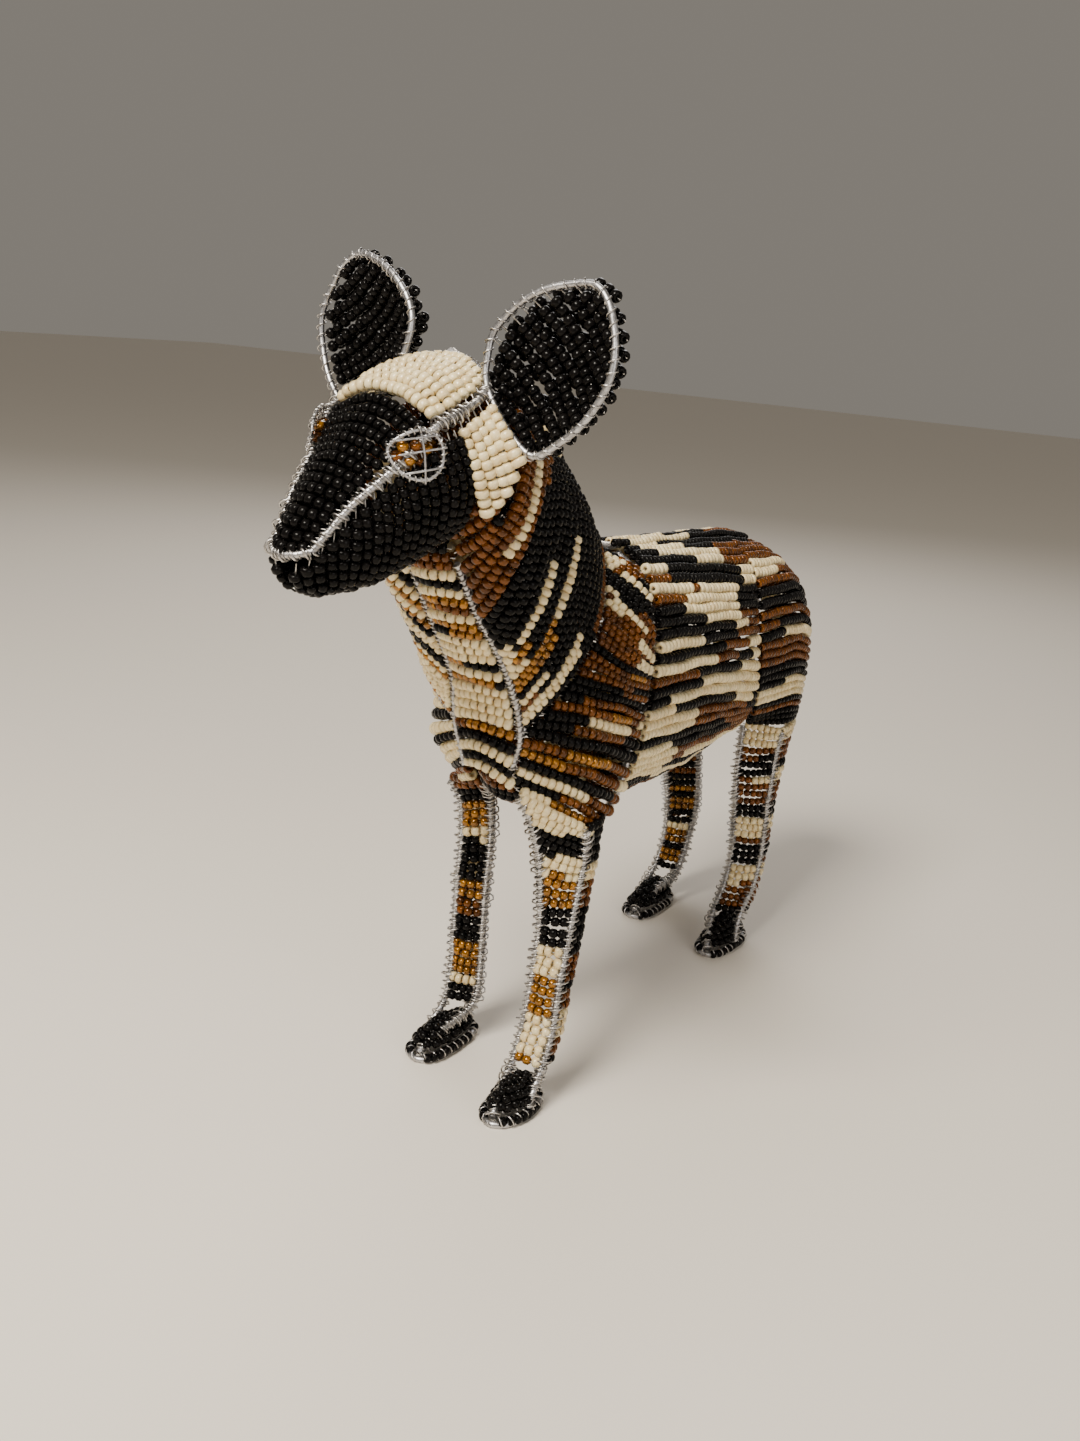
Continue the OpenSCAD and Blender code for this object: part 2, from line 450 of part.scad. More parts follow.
module rump_beads() {
  color(brown_col) both() sheet([rump_a, rump_m, rump_b, rump_end], 12, 8, 1, 1, 0.04, 0, -1);
}
module brisket_beads() {
  color(brown_col) sheet([brisket_edge, brisket_mid, brisket_far], 6, 4, 0, 0, 0, 0, -1);
}
module groin_beads() {
  color(brown_col) sheet([groin_edge, groin_mid, mir(groin_edge)], 4, 4, 0, 0, 0, 0, -1);
}
module front_left_leg_beads() {
  color(brown_col) leg_beads(fl_in, fl_out, fl_rear);
}
module front_right_leg_beads() {
  color(brown_col) leg_beads(fr_in, fr_out, fr_rear);
}
module rear_left_leg_beads() {
  color(brown_col) leg_beads(rl_in, rl_out, rl_rear);
}
module rear_right_leg_beads() {
  color(brown_col) leg_beads(rr_in, rr_out, rr_rear);
}
module foot_beads() {
  color(black_col) {
    foot_cap(feet[0], 16);
    foot_cap(feet[1], 15);
    foot_cap(feet[2], 18);
    foot_cap(feet[3], 17);
  }
}

spine_wire();
chest_seam_wires();
neck_base_hoop();
shoulder_hoop();
hip_hoop();
face_seam_wires();
nose_loop();
crown_back_wire();
ear_rims();
eye_rings();
front_left_leg_wires();
front_right_leg_wires();
rear_left_leg_wires();
rear_right_leg_wires();
foot_loops();
muzzle_top_beads();
lower_face_beads();
crown_beads();
temple_beads();
eye_beads();
ear_front_beads();
ear_back_beads();
neck_beads();
throat_beads();
shoulder_beads();
flank_beads();
rump_beads();
brisket_beads();
groin_beads();
front_left_leg_beads();
front_right_leg_beads();
rear_left_leg_beads();
rear_right_leg_beads();
foot_beads();
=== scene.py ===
import math
import random

import bpy
import numpy as np
from mathutils import Matrix, Vector


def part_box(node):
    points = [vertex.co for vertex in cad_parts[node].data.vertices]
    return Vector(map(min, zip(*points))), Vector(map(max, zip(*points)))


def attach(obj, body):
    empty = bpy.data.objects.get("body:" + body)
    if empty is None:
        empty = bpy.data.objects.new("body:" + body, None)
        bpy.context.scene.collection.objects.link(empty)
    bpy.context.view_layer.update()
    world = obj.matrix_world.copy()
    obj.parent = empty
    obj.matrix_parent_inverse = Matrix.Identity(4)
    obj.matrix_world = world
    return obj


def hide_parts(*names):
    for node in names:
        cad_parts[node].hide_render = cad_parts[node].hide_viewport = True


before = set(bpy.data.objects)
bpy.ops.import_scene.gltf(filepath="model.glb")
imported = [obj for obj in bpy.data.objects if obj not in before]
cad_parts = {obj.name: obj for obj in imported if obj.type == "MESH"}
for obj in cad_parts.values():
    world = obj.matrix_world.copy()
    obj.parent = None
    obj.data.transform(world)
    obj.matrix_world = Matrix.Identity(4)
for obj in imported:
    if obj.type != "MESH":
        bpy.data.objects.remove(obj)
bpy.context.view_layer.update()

# ---------------------------------------------------------------- sizes, in metres
MM = 0.001
BEAD_DIAMETER = 3.3 * MM
BEAD_LENGTH = 2.62 * MM
BEAD_HOLE = 0.9 * MM
BEAD_PITCH = 2.7 * MM
ARMATURE_WIRE = 2.2 * MM
RIM_WIRE = 1.9 * MM
BINDING_WIRE = 0.42 * MM
SEED = 11

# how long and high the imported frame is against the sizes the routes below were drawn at;
# the width is taken as drawn
DRAWN_BOX = ((-0.1235, 0.1300), (0.0, 0.2417))
spine_low, spine_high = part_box("spine_wire")
FIT = np.array([
    (spine_high.x - spine_low.x) / (DRAWN_BOX[0][1] - DRAWN_BOX[0][0]),
    1.0,
    spine_high.z / DRAWN_BOX[1][1],
])


def route(text):
    """Points x y z in millimetres, with commas between them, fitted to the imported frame."""
    points = [[float(c) for c in point.split()] for point in text.split(",")]
    return np.array(points) * MM * FIT


def other_side(points):
    return np.asarray(points) * np.array([1.0, -1.0, 1.0])


def between(a, b, c, d, t):
    """The smooth curve from b to c at share t, with a before it and d after it."""
    return 0.5 * (2 * b + (c - a) * t + (2 * a - 5 * b + 4 * c - d) * t ** 2
                  + (3 * b - 3 * c + d - a) * t ** 3)


def along(points, u):
    """Points of the smooth curve through a route at the shares u of its spans."""
    P = np.asarray(points, float)
    n = len(P) - 1
    s = np.clip(np.atleast_1d(u), 0, 1) * n
    i = np.minimum(s.astype(int), n - 1)
    t = (s - i)[:, None]
    padded = np.vstack([2 * P[0] - P[1], P, 2 * P[-1] - P[-2]])
    a, b, c, d = padded[i], padded[i + 1], padded[i + 2], padded[i + 3]
    return between(a, b, c, d, t)


def round_loop(points, u):
    """The same for a closed route."""
    P = np.asarray(points, float)
    n = len(P)
    s = (np.atleast_1d(u) % 1.0) * n
    i = s.astype(int) % n
    t = (s - np.floor(s))[:, None]
    a, b, c, d = P[i - 1], P[i], P[(i + 1) % n], P[(i + 2) % n]
    return between(a, b, c, d, t)


def length_of(path):
    return float(np.linalg.norm(np.diff(path, axis=0), axis=1).sum())


def run_along(path):
    """The distance from the start of a path to each of its points."""
    return np.concatenate([[0], np.cumsum(np.linalg.norm(np.diff(path, axis=0), axis=1))])


def even_shares(path, count, start, end):
    """Shares at equal distances along a densely sampled path, between two insets."""
    run = run_along(path)
    shares = np.linspace(0, 1, len(path))
    at = start + (run[-1] - start - end) * (np.arange(count) + 0.5) / count
    return np.interp(at, run, shares)


# ---------------------------------------------------------------- head, before it is turned
HEAD_PIVOT = route("130 0 200")[0]
HEAD_TURN = math.radians(-8)
HEAD_TILT = math.radians(-3)
turn = np.array(Matrix.Rotation(HEAD_TURN, 3, "Z") @ Matrix.Rotation(HEAD_TILT, 3, "X"))


def posed(points):
    """Head points, turned and tilted on the neck."""
    return (np.asarray(points) - HEAD_PIVOT) @ turn.T + HEAD_PIVOT


face_seam = route("""
    182 7 190.5, 178.5 8.5 195.5, 173.5 10.8 202.5, 167 13.5 209, 160.5 16.5 216, 155 18.8 223,
    147 18.6 226.5, 139 18 230, 133.5 16.5 234""")
nose_wire = route("""
    182 6.6 190.5, 184.8 4.2 189.4, 186 0 188.8, 184.8 -4.2 189.4, 182 -6.6 190.5""")
bridge_mid = route("""
    187 0 188.5, 182.5 0 197, 175.5 0 206, 168.5 0 214.5, 161 0 222.5, 154.5 0 229.5""")
bridge_side = route("""
    182 7 190.5, 178 8.7 196.2, 172 11.5 204.2, 165.5 14.2 211, 160 16.8 217.5, 155 18.8 223""")
crown_front = route("""
    155 18.8 223, 156 14 226.6, 155.3 7 229.2, 154.5 0 229.5, 155.3 -7 229.2, 156 -14 226.6,
    155 -18.8 223""")
crown_mid = route("""
    144 18.4 228, 144 14 232.6, 143.5 7 235.6, 143 0 236.4, 143.5 -7 235.6, 144 -14 232.6,
    144 -18.4 228""")
crown_back = route("""
    133.5 16.5 234, 131.5 12 237, 130 6 239, 129 0 239.4, 130 -6 239, 131.5 -12 237,
    133.5 -16.5 234""")
cheek_top = route("""
    185.4 1 186.8, 183 5.8 188, 178 8.6 194.4, 172 11.4 202.6, 165.5 14.4 209.8, 160 17.2 216,
    152.5 19.6 221.6, 147 20 223.4""")
cheek_side = route("""
    184.4 1 183.6, 182.4 4.8 184, 178 8 187.5, 171.5 12.4 192, 163 16.2 197.6, 155 19.4 203,
    147 22 207.6, 141 23.6 210.6""")
cheek_low = route("""
    181.8 1 180.8, 179.8 4 180.2, 175.6 6.8 180.6, 169.6 9.2 182, 161 11.6 184.4, 152 13.8 189.2,
    144.5 15.8 193.8, 138.5 17.4 197.4""")
chin_mid = route("""
    180.8 0.6 179.8, 178.8 0.4 178.8, 175 0 178, 169 0 178.2, 160.5 0 180, 151 0 184.2, 144 0 188,
    138 0 190.6""")
ear_rim = route("""
    134 16 235, 133 14.7 241, 132 14.8 247, 131 17.8 252, 130.5 22.5 256.4, 129.5 29 260,
    128 36 262, 127.5 42.5 262.5, 128 47.5 259, 128.5 50.8 253, 129.3 52.6 247.5, 130 53 242,
    130.5 51.2 236, 131.5 47.3 229, 132.5 42 223.6, 133.5 34.5 218.6, 134.5 27.5 222.5,
    134.5 21 228.5""")
eye_ring = route("""
    166 14 217, 162.5 16.6 221.5, 157 18.8 222.5, 153.5 20.6 219.5, 153.5 21.4 214,
    157.5 20.6 210.5, 163 17.4 211.5""")
temple_top = route("""
    148 19.6 224.5, 144.5 19.6 226.5, 141 19.4 228.4, 137.8 19.2 230.2, 136 20.5 230.6""")
temple_mid = route("""
    144 23.5 212, 141 24.8 214.6, 138.5 25.8 218.6, 137.2 26.4 222.6, 136.8 27.2 225""")
temple_low = route("""
    139.5 25 199.5, 136.5 27 203.5, 134.5 29 208.5, 134.3 31 214, 135.6 32.6 219""")

# ---------------------------------------------------------------- neck and chest
nape = route("""
    124 0 237.5, 110 0 232.6, 95 0 225.4, 79 0 215, 59 0 199.6, 34 0 180.2""")
neck_high = route("""
    122.5 10.5 233.5, 109.5 10.2 228.4, 96.5 10 221, 81.5 9.8 210.4, 63 9.5 195.8, 41 6 176.6""")
neck_upper = route("""
    124 22 220, 112 20.5 214, 101.5 19 206.4, 87.5 17.8 195.6, 71.5 17 181.4, 53 13.5 165.6""")
neck_side = route("""
    131 25.6 204, 121.5 23.8 195.4, 110.5 22 186.4, 97 20.8 176.6, 83 20 165, 68 19 153.4""")
neck_low = route("""
    132.6 18.6 192, 125 18 181, 114.5 17.6 170.4, 102.5 17.6 160, 91.5 17.8 149.6, 82 17.8 141""")
seam_neck = route("""
    131 8.6 184.4, 121.2 9.4 170, 111.6 10.4 158.4, 103.4 11 148, 97.4 11.8 137, 94.6 12.4 127.6""")
chest_seam = route("""
    131 8.5 184, 120.5 9 169.3, 111.8 10 159, 104.6 10.6 150, 99 11 141, 96.2 12 133, 94.2 12 125,
    93.4 10 118, 93 8.5 112.5""")
neck_base = route("""
    35.5 2 179.4, 45 9 173, 54 14.5 164.5, 63 18 157.5, 73 19.2 150, 81.5 18 141.5, 88.5 15.5 134,
    94.5 12.5 127.5""")

# ---------------------------------------------------------------- shoulder, flank and rump
shoulder_a = route("""
    34 0.8 180, 43 7.5 174.5, 53 14 165.5, 67 18.8 154.6, 82 17.8 141, 94.5 12.4 127.4, 93.6 10 118,
    93 8.8 112.5, 89 15 101""")
shoulder_m = route("""
    29 4 178.6, 36 14 172.5, 46 23 160.5, 55 26.5 145, 66 26.8 130.5, 74 25.6 117.5,
    75.5 24.6 108.5, 77 24.2 103.2, 81 24.6 97""")
shoulder_b = route("""
    23 5 177.2, 29 17 169.8, 36 26.2 156, 40 28.6 140, 43.5 28.8 124, 47 27.8 108, 53 27.2 98.5,
    62 27.8 94.4, 74 29 93""")
# the far side of the neck is fuller
neck_upper_far = route("""
    124 -22 220, 112.5 -21 214, 102.5 -20.5 206.4, 89 -19.8 195.6, 73.5 -19.5 181.4,
    55.5 -16.5 165.6""")
neck_side_far = route("""
    131 -25.6 204, 122.5 -25.4 195.4, 112.5 -25.2 186.4, 100.5 -25.4 176.6, 88 -25.8 165,
    74 -23.4 153.8""")
neck_low_far = route("""
    132.6 -18.6 192, 126.5 -20.2 181, 118 -21.8 170.4, 107.5 -23.6 160, 98.5 -25.2 149.6,
    91.5 -25.8 141""")
neck_base_far = route("""
    35.5 -2 179.4, 46 -10 173, 57 -17 164.5, 68.5 -21.6 157.5, 81 -25 149, 90.5 -25.2 141.5,
    94 -20.5 134, 94.5 -12.5 127.5""")
# the far shoulder is shorter, because that foreleg stands further back
shoulder_a_far = route("""
    34 -0.8 180, 45 -9.5 174.5, 57 -17 165.5, 74 -23 154.6, 90.5 -25.5 141, 94.5 -12.4 127.4,
    92.6 -10 119, 88.5 -9.6 112, 79 -12.6 104""")
shoulder_m_far = route("""
    29 -4 178.6, 36 -14 172.5, 48 -24 160.5, 61 -28 146, 74 -29 131, 83 -26.8 118.5, 79.5 -23.4 110,
    75.5 -22.4 104.6, 71 -22.4 99.6""")
shoulder_b_far = route("""
    23 -5 177.2, 29 -17 169.8, 36 -26.2 156, 40 -28.6 140, 43 -28.8 124, 45.5 -27.8 109,
    49 -27.2 100.5, 55 -27.6 97, 62 -28 96""")
brisket_far = route("""
    86 -6.5 110.4, 77 -11 104, 64 -14.6 98.4, 48 -14 94.4""")
flank_a = route("""
    21 0 178.4, 22.5 8 176.6, 27 17 170.4, 33 25.4 157.6, 37.4 28.4 141, 41 28.6 124.6,
    44.4 26.8 109, 45 20 98.5, 45 10 94.5, 45 0 93.6""")
flank_m = route("""
    -20 0 177, -19 9 175, -17 17.5 170.2, -14 25.4 159, -12 29.4 145, -12 29.8 129, -13 27.2 112,
    -17 20 98, -20 9.5 90.6, -20 0 89.6""")
flank_b = route("""
    -66 0 175.4, -63.5 9 173.4, -59 17 168.6, -54 24.4 159, -50.5 28.4 146, -54 28.8 130,
    -60.5 27 115, -69 20.5 103, -78 10 96.6, -80 0 95.4""")
hip = route("""
    -62 11 172.4, -58.5 18 168, -54 24.4 159, -50.5 28.4 146, -54 28.8 130, -60.5 27 115,
    -69 22 104, -79 16.6 98""")
shoulder_wire = route("""
    22 3 178, 25.5 13 173.4, 32 22.6 162.4, 37 27.6 148, 41 28.8 132, 45 28.2 115, 49.5 27.4 102,
    58 27.4 95""")
rump_a = route("""
    -68 0 175.4, -62.5 14 170.6, -56 25 158, -54 29 142, -59.5 28.6 125.6, -67 25.4 110,
    -81 18 98""")
rump_m = route("""
    -91 0 172, -92 14.4 168, -92 24.6 158.6, -92.5 29.6 145.6, -93.5 31 130, -94.5 30.8 114,
    -96 29.4 97.6""")
rump_b = route("""
    -107 0 163, -109 11 160, -110.5 20 151.4, -112 24.6 141, -113.5 26.6 128, -114.5 27 113,
    -112 26.4 97.6""")
rump_end = route("""
    -110 0.6 160.6, -115 1.4 154, -118.4 2 146.4, -120.6 2.6 137, -121.6 4 126, -121.4 8 112,
    -119 13 98""")
spine = route("""
    129 0 240.6, 118 0 236.4, 102 0 229.8, 86 0 221, 70 0 209, 52 0 194.4, 36 0 181.4, 20 0 178.6,
    0 0 177.8, -30 0 176.8, -66 0 175.6, -91 0 172, -107 0 163.4, -117 0 150.4, -121.4 0 137,
    -122.4 0 124""")
brisket_edge = route("""
    90 6.5 111, 82 13 102.6, 66 16 97.4, 48 14 94.4""")
brisket_mid = route("""
    92 0 111.4, 82 0 102, 66 0 97, 48 0 93.8""")
groin_edge = route("""
    -83 13 97, -94 14 98.6, -106 13 99, -117 11 98.6""")
groin_mid = route("""
    -83 0 96, -94 0 98.4, -106 0 100, -118.6 0 101""")

# ---------------------------------------------------------------- legs: inner, outer, rear wire
def a_leg(inner, outer, rear, toe, heel, middle, ankle):
    """A leg by its inner, outer and rear wires; the right legs have a middle below 0."""
    wires = [route(points) for points in (inner, outer, rear)]
    if middle < 0:
        wires = [other_side(wire) for wire in wires]
    return dict(inner=wires[0], outer=wires[1], rear=wires[2], toe=toe, heel=heel,
                middle=middle, ankle=ankle)


LEGS = {
    "front_left": a_leg(
        inner="""
        91.5 12 106.5, 87.5 15.5 96, 82.5 17 79, 79.5 17 60, 81 17 42, 84.5 17 26, 89.5 17 13.5""",
        outer="""
        77 29 95.5, 73.5 27.8 88, 73 26.8 76, 76 26.6 60, 80 26.8 42, 83 27.4 26, 87.5 27 13.5""",
        rear="""
        60 25 96, 61 24 88, 61 23 76, 64 23 60, 68 23 42, 72.5 23 26, 78.5 22.4 13.5""",
        toe=108, heel=82, middle=21.5, ankle=16),
    "front_right": a_leg(
        inner="""
        74 12 102, 66 14.5 94, 62.5 15 78, 63 15 60, 63 15 42, 62.5 15 26, 64.5 15.6 13.5""",
        outer="""
        70 28 97.5, 66.5 26 90, 66 24.6 76, 66 25 60, 65 25.4 42, 64.5 25.8 26, 67 26 13.5""",
        rear="""
        55 23.5 97, 53 23 90, 52.5 22 76, 53 22 60, 53.5 22 42, 53.5 22 26, 56 22 13.5""",
        toe=90, heel=58, middle=-21.2, ankle=15),
    "rear_left": a_leg(
        inner="""
        -82 16 96.4, -80 16.8 86, -79.5 17 74, -82 17 60, -85.5 17 42, -82.5 17 26, -73 17 14.5""",
        outer="""
        -93 29.4 94, -91 29 86, -90 28.8 74, -90 28.4 60, -92 28 42, -88 28 26, -78 27.4 14.5""",
        rear="""
        -116 24 95, -112 24 86, -106 24 74, -102 24 60, -101 23.6 42, -97.5 23 26, -91 22 14.5""",
        toe=-59, heel=-91, middle=21.6, ankle=18),
    "rear_right": a_leg(
        inner="""
        -102 13 96.4, -106 14 86, -110 15 74, -113.5 15 60, -116.5 15 42, -111 15 26,
        -104 15.4 14.5""",
        outer="""
        -97 28 94, -99 26.6 86, -101 26 74, -103.5 26 60, -109.5 26 42, -109.5 26 26,
        -103 26 14.5""",
        rear="""
        -119 22 95, -119 20.6 86, -120 20 74, -122.5 19.6 60, -126 19.6 42, -122 20 26,
        -115.5 20 14.5""",
        toe=-73, heel=-106, middle=-21, ankle=17),
}


def panel_path(sections, u, samples=33, slides=None):
    """The line across a panel, from its first section to its last, at share u of each.
    slides moves the share up or down a section: (shares, moves) for each section."""
    shares = [u] * len(sections)
    if slides:
        shares = [u + np.interp(u, *s) if s else u for s in slides]
    knots = np.vstack([along(s, share) for s, share in zip(sections, shares)])
    return along(knots, np.linspace(0, 1, samples))


def crossing_rows(sections, count, start=0.0, end=0.0, slides=None):
    """Rows that run from the first section to the last, evenly spaced along the panel."""
    middle = np.vstack([panel_path(sections, u, 9)[4:5] for u in np.linspace(0, 1, 60)])
    return [panel_path(sections, u, slides=slides)
            for u in even_shares(middle, count, start * MM, end * MM)]


def following_rows(sections, count, start=0.0, end=0.0):
    """Rows that run along the sections, evenly spaced from the first to the last."""
    middle = panel_path(sections, 0.5, 60)
    rows = []
    for v in even_shares(middle, count, start * MM, end * MM):
        rows.append(np.vstack([along(np.vstack([along(s, u) for s in sections]), v)
                               for u in np.linspace(0, 1, 41)]))
    return rows
def rows_ahead(rows, count):
    """More rows ahead of the first one of a panel, at the same spacing."""
    step = rows[0] - rows[1]
    return [rows[0] + step * n for n in range(count, 0, -1)]


# how the rows slope: shares down a section, and how far the row has slid there
SHOULDER_SLIDES = [None,
                   ([0, 0.10, 0.25, 0.36, 0.50, 0.60, 0.75, 0.88, 1.0],
                    [0.05, 0.05, 0.04, -0.005, -0.045, -0.04, 0.0, 0.008, 0.0]),
                   ([0, 0.10, 0.25, 0.36, 0.47, 0.60, 0.75, 0.88, 1.0],
                    [0.08, 0.09, 0.08, 0.0, -0.036, -0.035, 0.012, 0.02, 0.0])]
FLANK_SLIDES = [None,
                ([0, 0.2, 0.4, 0.55, 0.75, 1.0], [0.03, 0.04, 0.04, 0.05, 0.06, 0.0]),
                ([0, 0.2, 0.4, 0.55, 0.7, 1.0], [0.05, 0.08, 0.065, 0.12, 0.14, 0.0])]
throat_left = route("""
    131 8.5 184, 120.5 9 169.3, 111.8 10 159, 104.6 10.6 150, 99 11 141, 96.2 12 133, 94.2 12 124,
    93 11 115, 91.6 11.4 107""")
throat_rise = route("""
    135 0 184.4, 124 0 170, 115.4 0 159.4, 108.4 0 150.4, 102.8 0 142, 99.6 0 134, 98 0 127,
    97 0 120.4, 95 0 113.4""")
THROAT_SECTIONS = [throat_left, throat_rise, other_side(chest_seam)]


# ---------------------------------------------------------------- the coat
def rows_of(text):
    """Row colours: k black, c cream, b brown, a amber, each with its share of the row.
    Rows are listed from the top of a panel down, with commas between them."""
    return [" ".join(row.split()) for row in text.split(",")]


NECK = rows_of("""
    k.25 b.75, k.3 b.7, b.15 c.6 b.25, b, b.4 k.6, k.15 b.15 k.7, k.1 c.07 k.83, k.92 c.08,
    k.1 c.05 k.40 c.35 k.03 c.07, k.85 a.1 c.05, k.88 c.12, k.35 c.35 a.3, k.72 a.28, k, k.84 c.16,
    k.9 b.1, k.6 c.4, k.64 c.36, b.5 k.5""")
UNDER_JAW = ["b", "b.7 k.3", "b", "k.2 b.8"]
NECK_FAR = rows_of("""
    k.25 b.75, b.4 c.6, k, b.4 c.6, b.3 a.7, k.4 b.6, b.4 c.6, b.3 a.7, k, a.4 c.6, k.3 c.7,
    k.3 c.7, a.4 k.6, k, k.3 c.7, b.4 a.6, k.4 c.6, k.3 c.7, k.35 c.65, k.3 c.7, k.3 c.7, b.5 c.5,
    b.6 c.4, a""")
THROAT = rows_of("""
    b, c, k, c, a, b.6 a.4, c, a, a.5 k.5, c, c, c, k.6 a.4, c, k.2 a.8, c, c, c, c, a.8 b.2, k, c,
    k, c""")
SHOULDER = rows_of("""
    k.3 b.7, c.45 b.55, c.35 b.35 k.3, c.2 b.15 c.65, k, k, k.7 b.3, c.2 k.4 b.4, b.08 c.67 b.25,
    c.25 b.75, b.6 c.4, b.55 c.45, b, b.8 k.2, b.7 c.3, b.65 c.35, k, b.6 a.3 b.1, b, b.7 k.3,
    k.6 b.4, k, k.2 b.8, b.5 a.3 b.12 c.08, k.35 c.45 b.2, k.3 b.5 k.2, k, b.3 a.4 b.3,
    a.3 b.62 c.08, k.9 b.1, c.6 b.4, k.4 b.6, c.35 a.4 b.25, c""")
SHOULDER_FAR = rows_of("""
    k.3 b.7, c.45 b.55, b, c.5 b.5, k, k, b, c.4 b.6, b, k, b.6 c.4, b.5 c.5, b, k, b.6 c.4, b, k,
    c.4 b.6, c.6 k.4, c.5 b.5, k, c.5 k.5, c.4 b.6, a.5 b.5, c.6 b.4, c.5 k.5, k.5 b.5, c.6 b.4, k,
    c.6 b.4, c.5 b.5, k, b, c.7 b.3""")
FLANK = rows_of("""
    c.3 k.7, k.1 c.35 k.3 b.25, k.2 c.55 b.25, k.45 c.27 b.28, c.17 k.7 c.13, b.15 k.7 c.15,
    c.33 b.05 c.4 k.22, b.25 c.5 k.25, k.22 c.55 k.23, k.43 c.35 b.22, k.72 c.16 b.12,
    c.4 k.35 b.25, k.6 b.28 c.12, c.5 b.27 k.13 c.1, b.35 k.45 c.2, k.4 c.6, k.14 c.86,
    c.2 k.55 c.2 k.05, c.4 b.5 k.1, c.38 b.62, k.7 b.3, c.25 k.55 b.2, c.3 b.7, c.3 b.1 c.6,
    c.25 k.75, k.2 c.6 b.2, k.6 b.4, b, k, b.5 k.5, c.5 b.5, k, b, b""")
FLANK_FAR = FLANK[5:] + FLANK[:5]
RUMP = rows_of("""
    k.3 b.7, k.4 b.6, b, b, b, c.5 b.5, c.3 b.7, b.6 k.4, k.8 c.2, k, b.85 c.15, b.2 k.8, k.25 c.75,
    b, b, b.9 k.1, k, k, k.3 c.7, c, c.7 k.3, k, b, k, k.6 b.4, k""")
RUMP_FAR = RUMP[3:] + RUMP[:3]
RUMP_SLIDE = ([0, 0.30, 0.37, 0.44, 0.52, 0.60, 0.70, 0.80, 0.90, 1.0],
              [0, 0.02, 0.045, 0.073, 0.092, 0.10, 0.095, 0.075, 0.045, 0.0])
RUMP_SLIDES = [None, (RUMP_SLIDE[0], [0.55 * s for s in RUMP_SLIDE[1]]), RUMP_SLIDE, RUMP_SLIDE]
LEG_FRONT = {
    "front_left": rows_of("""
        c, c.6 k.4, k, k, k.3 c.7, c, c.25 a.3 c.45, a, a, a, k, k, k, k, c, c, c, a, a, a, a, c, c,
        c, c, a.5 c.5"""),
    "front_right": rows_of("""
        b, k, k, a, a, a, c, c.3 k.7, k, k, k, k, a, a, b, b, k, k, k, a, a, a, a, c, k, k"""),
    "rear_left": rows_of("""
        c, c, b, b.5 k.5, k, k, b.4 c.6, b, b, b, k, k, c, c, c, b, k, k, k, c, c, c.5 b.5, b, b, b,
        k"""),
    "rear_right": rows_of("""
        b, k, b, k, b, c, b, k, b, k, b, k, k, a, k, a, a, k, k, c, a, a, k, a, a, k"""),
}
LEG_SIDE = {
    "front_left": rows_of("""
        k, k, k, k, c, c, b, b, b, k, k, k, k, k, b, b, b, k, b, b, c, c, c, b, b, k"""),
    "front_right": rows_of("""
        b, b, b, c, c, c, c, k, k, k, c, c, b, b, k, k, b, b, k, k, b, c, c, b, k, k"""),
    "rear_left": rows_of("""
        c, b, b, b, k, c, c, b, b, b, k, k, c, c, b, b, k, k, b, c, c, b, b, b, b, k"""),
    "rear_right": rows_of("""
        b, k, b, b, k, b, c, c, b, k, b, c, c, b, b, c, b, k, b, c, b, b, k, b, k, k"""),
}


# ---------------------------------------------------------------- node trees
def group_input(tree, name, kind, value, least=0.0):
    socket = tree.interface.new_socket(name, in_out="INPUT", socket_type=kind)
    if kind in ("NodeSocketFloat", "NodeSocketInt"):
        socket.default_value = value
        socket.min_value = type(value)(least)
    return socket


class Tree:
    """A node tree being built, with short calls for placing and joining nodes."""

    def __init__(self, name):
        self.tree = bpy.data.node_groups.new(name, "GeometryNodeTree")
        self.tree.interface.new_socket("Geometry", in_out="INPUT",
                                       socket_type="NodeSocketGeometry")
        self.tree.interface.new_socket("Geometry", in_out="OUTPUT",
                                       socket_type="NodeSocketGeometry")
        self.sockets = {}

    def size(self, name, value, kind="NodeSocketFloat"):
        self.sockets[name] = group_input(self.tree, name, kind, value)

    def begin(self):
        self.start = self.tree.nodes.new("NodeGroupInput")
        self.end = self.tree.nodes.new("NodeGroupOutput")

    def node(self, kind, inputs=None, **settings):
        made = self.tree.nodes.new(kind)
        for key, value in settings.items():
            setattr(made, key, value)
        for key, value in (inputs or {}).items():
            if isinstance(value, bpy.types.NodeSocket):
                self.tree.links.new(value, made.inputs[key])
            else:
                made.inputs[key].default_value = value
        return made

    def math(self, operation, a, b=0.0):
        return self.node("ShaderNodeMath", {0: a, 1: b}, operation=operation).outputs[0]

    def vector(self, operation, inputs):
        return self.node("ShaderNodeVectorMath", inputs, operation=operation).outputs[0]

    def named(self, name, kind):
        return self.node("GeometryNodeInputNamedAttribute", {"Name": name},
                         data_type=kind).outputs["Attribute"]

    def finish(self, geometry):
        real = self.node("GeometryNodeRealizeInstances", {"Geometry": geometry})
        painted = self.node("GeometryNodeSetMaterial", {
            "Geometry": real.outputs[0], "Material": self.start.outputs["Material"]})
        self.tree.links.new(painted.outputs[0], self.end.inputs[0])
        return self.tree


HEXAGON = 1.1547            # across the corners of a hexagon over across its flats


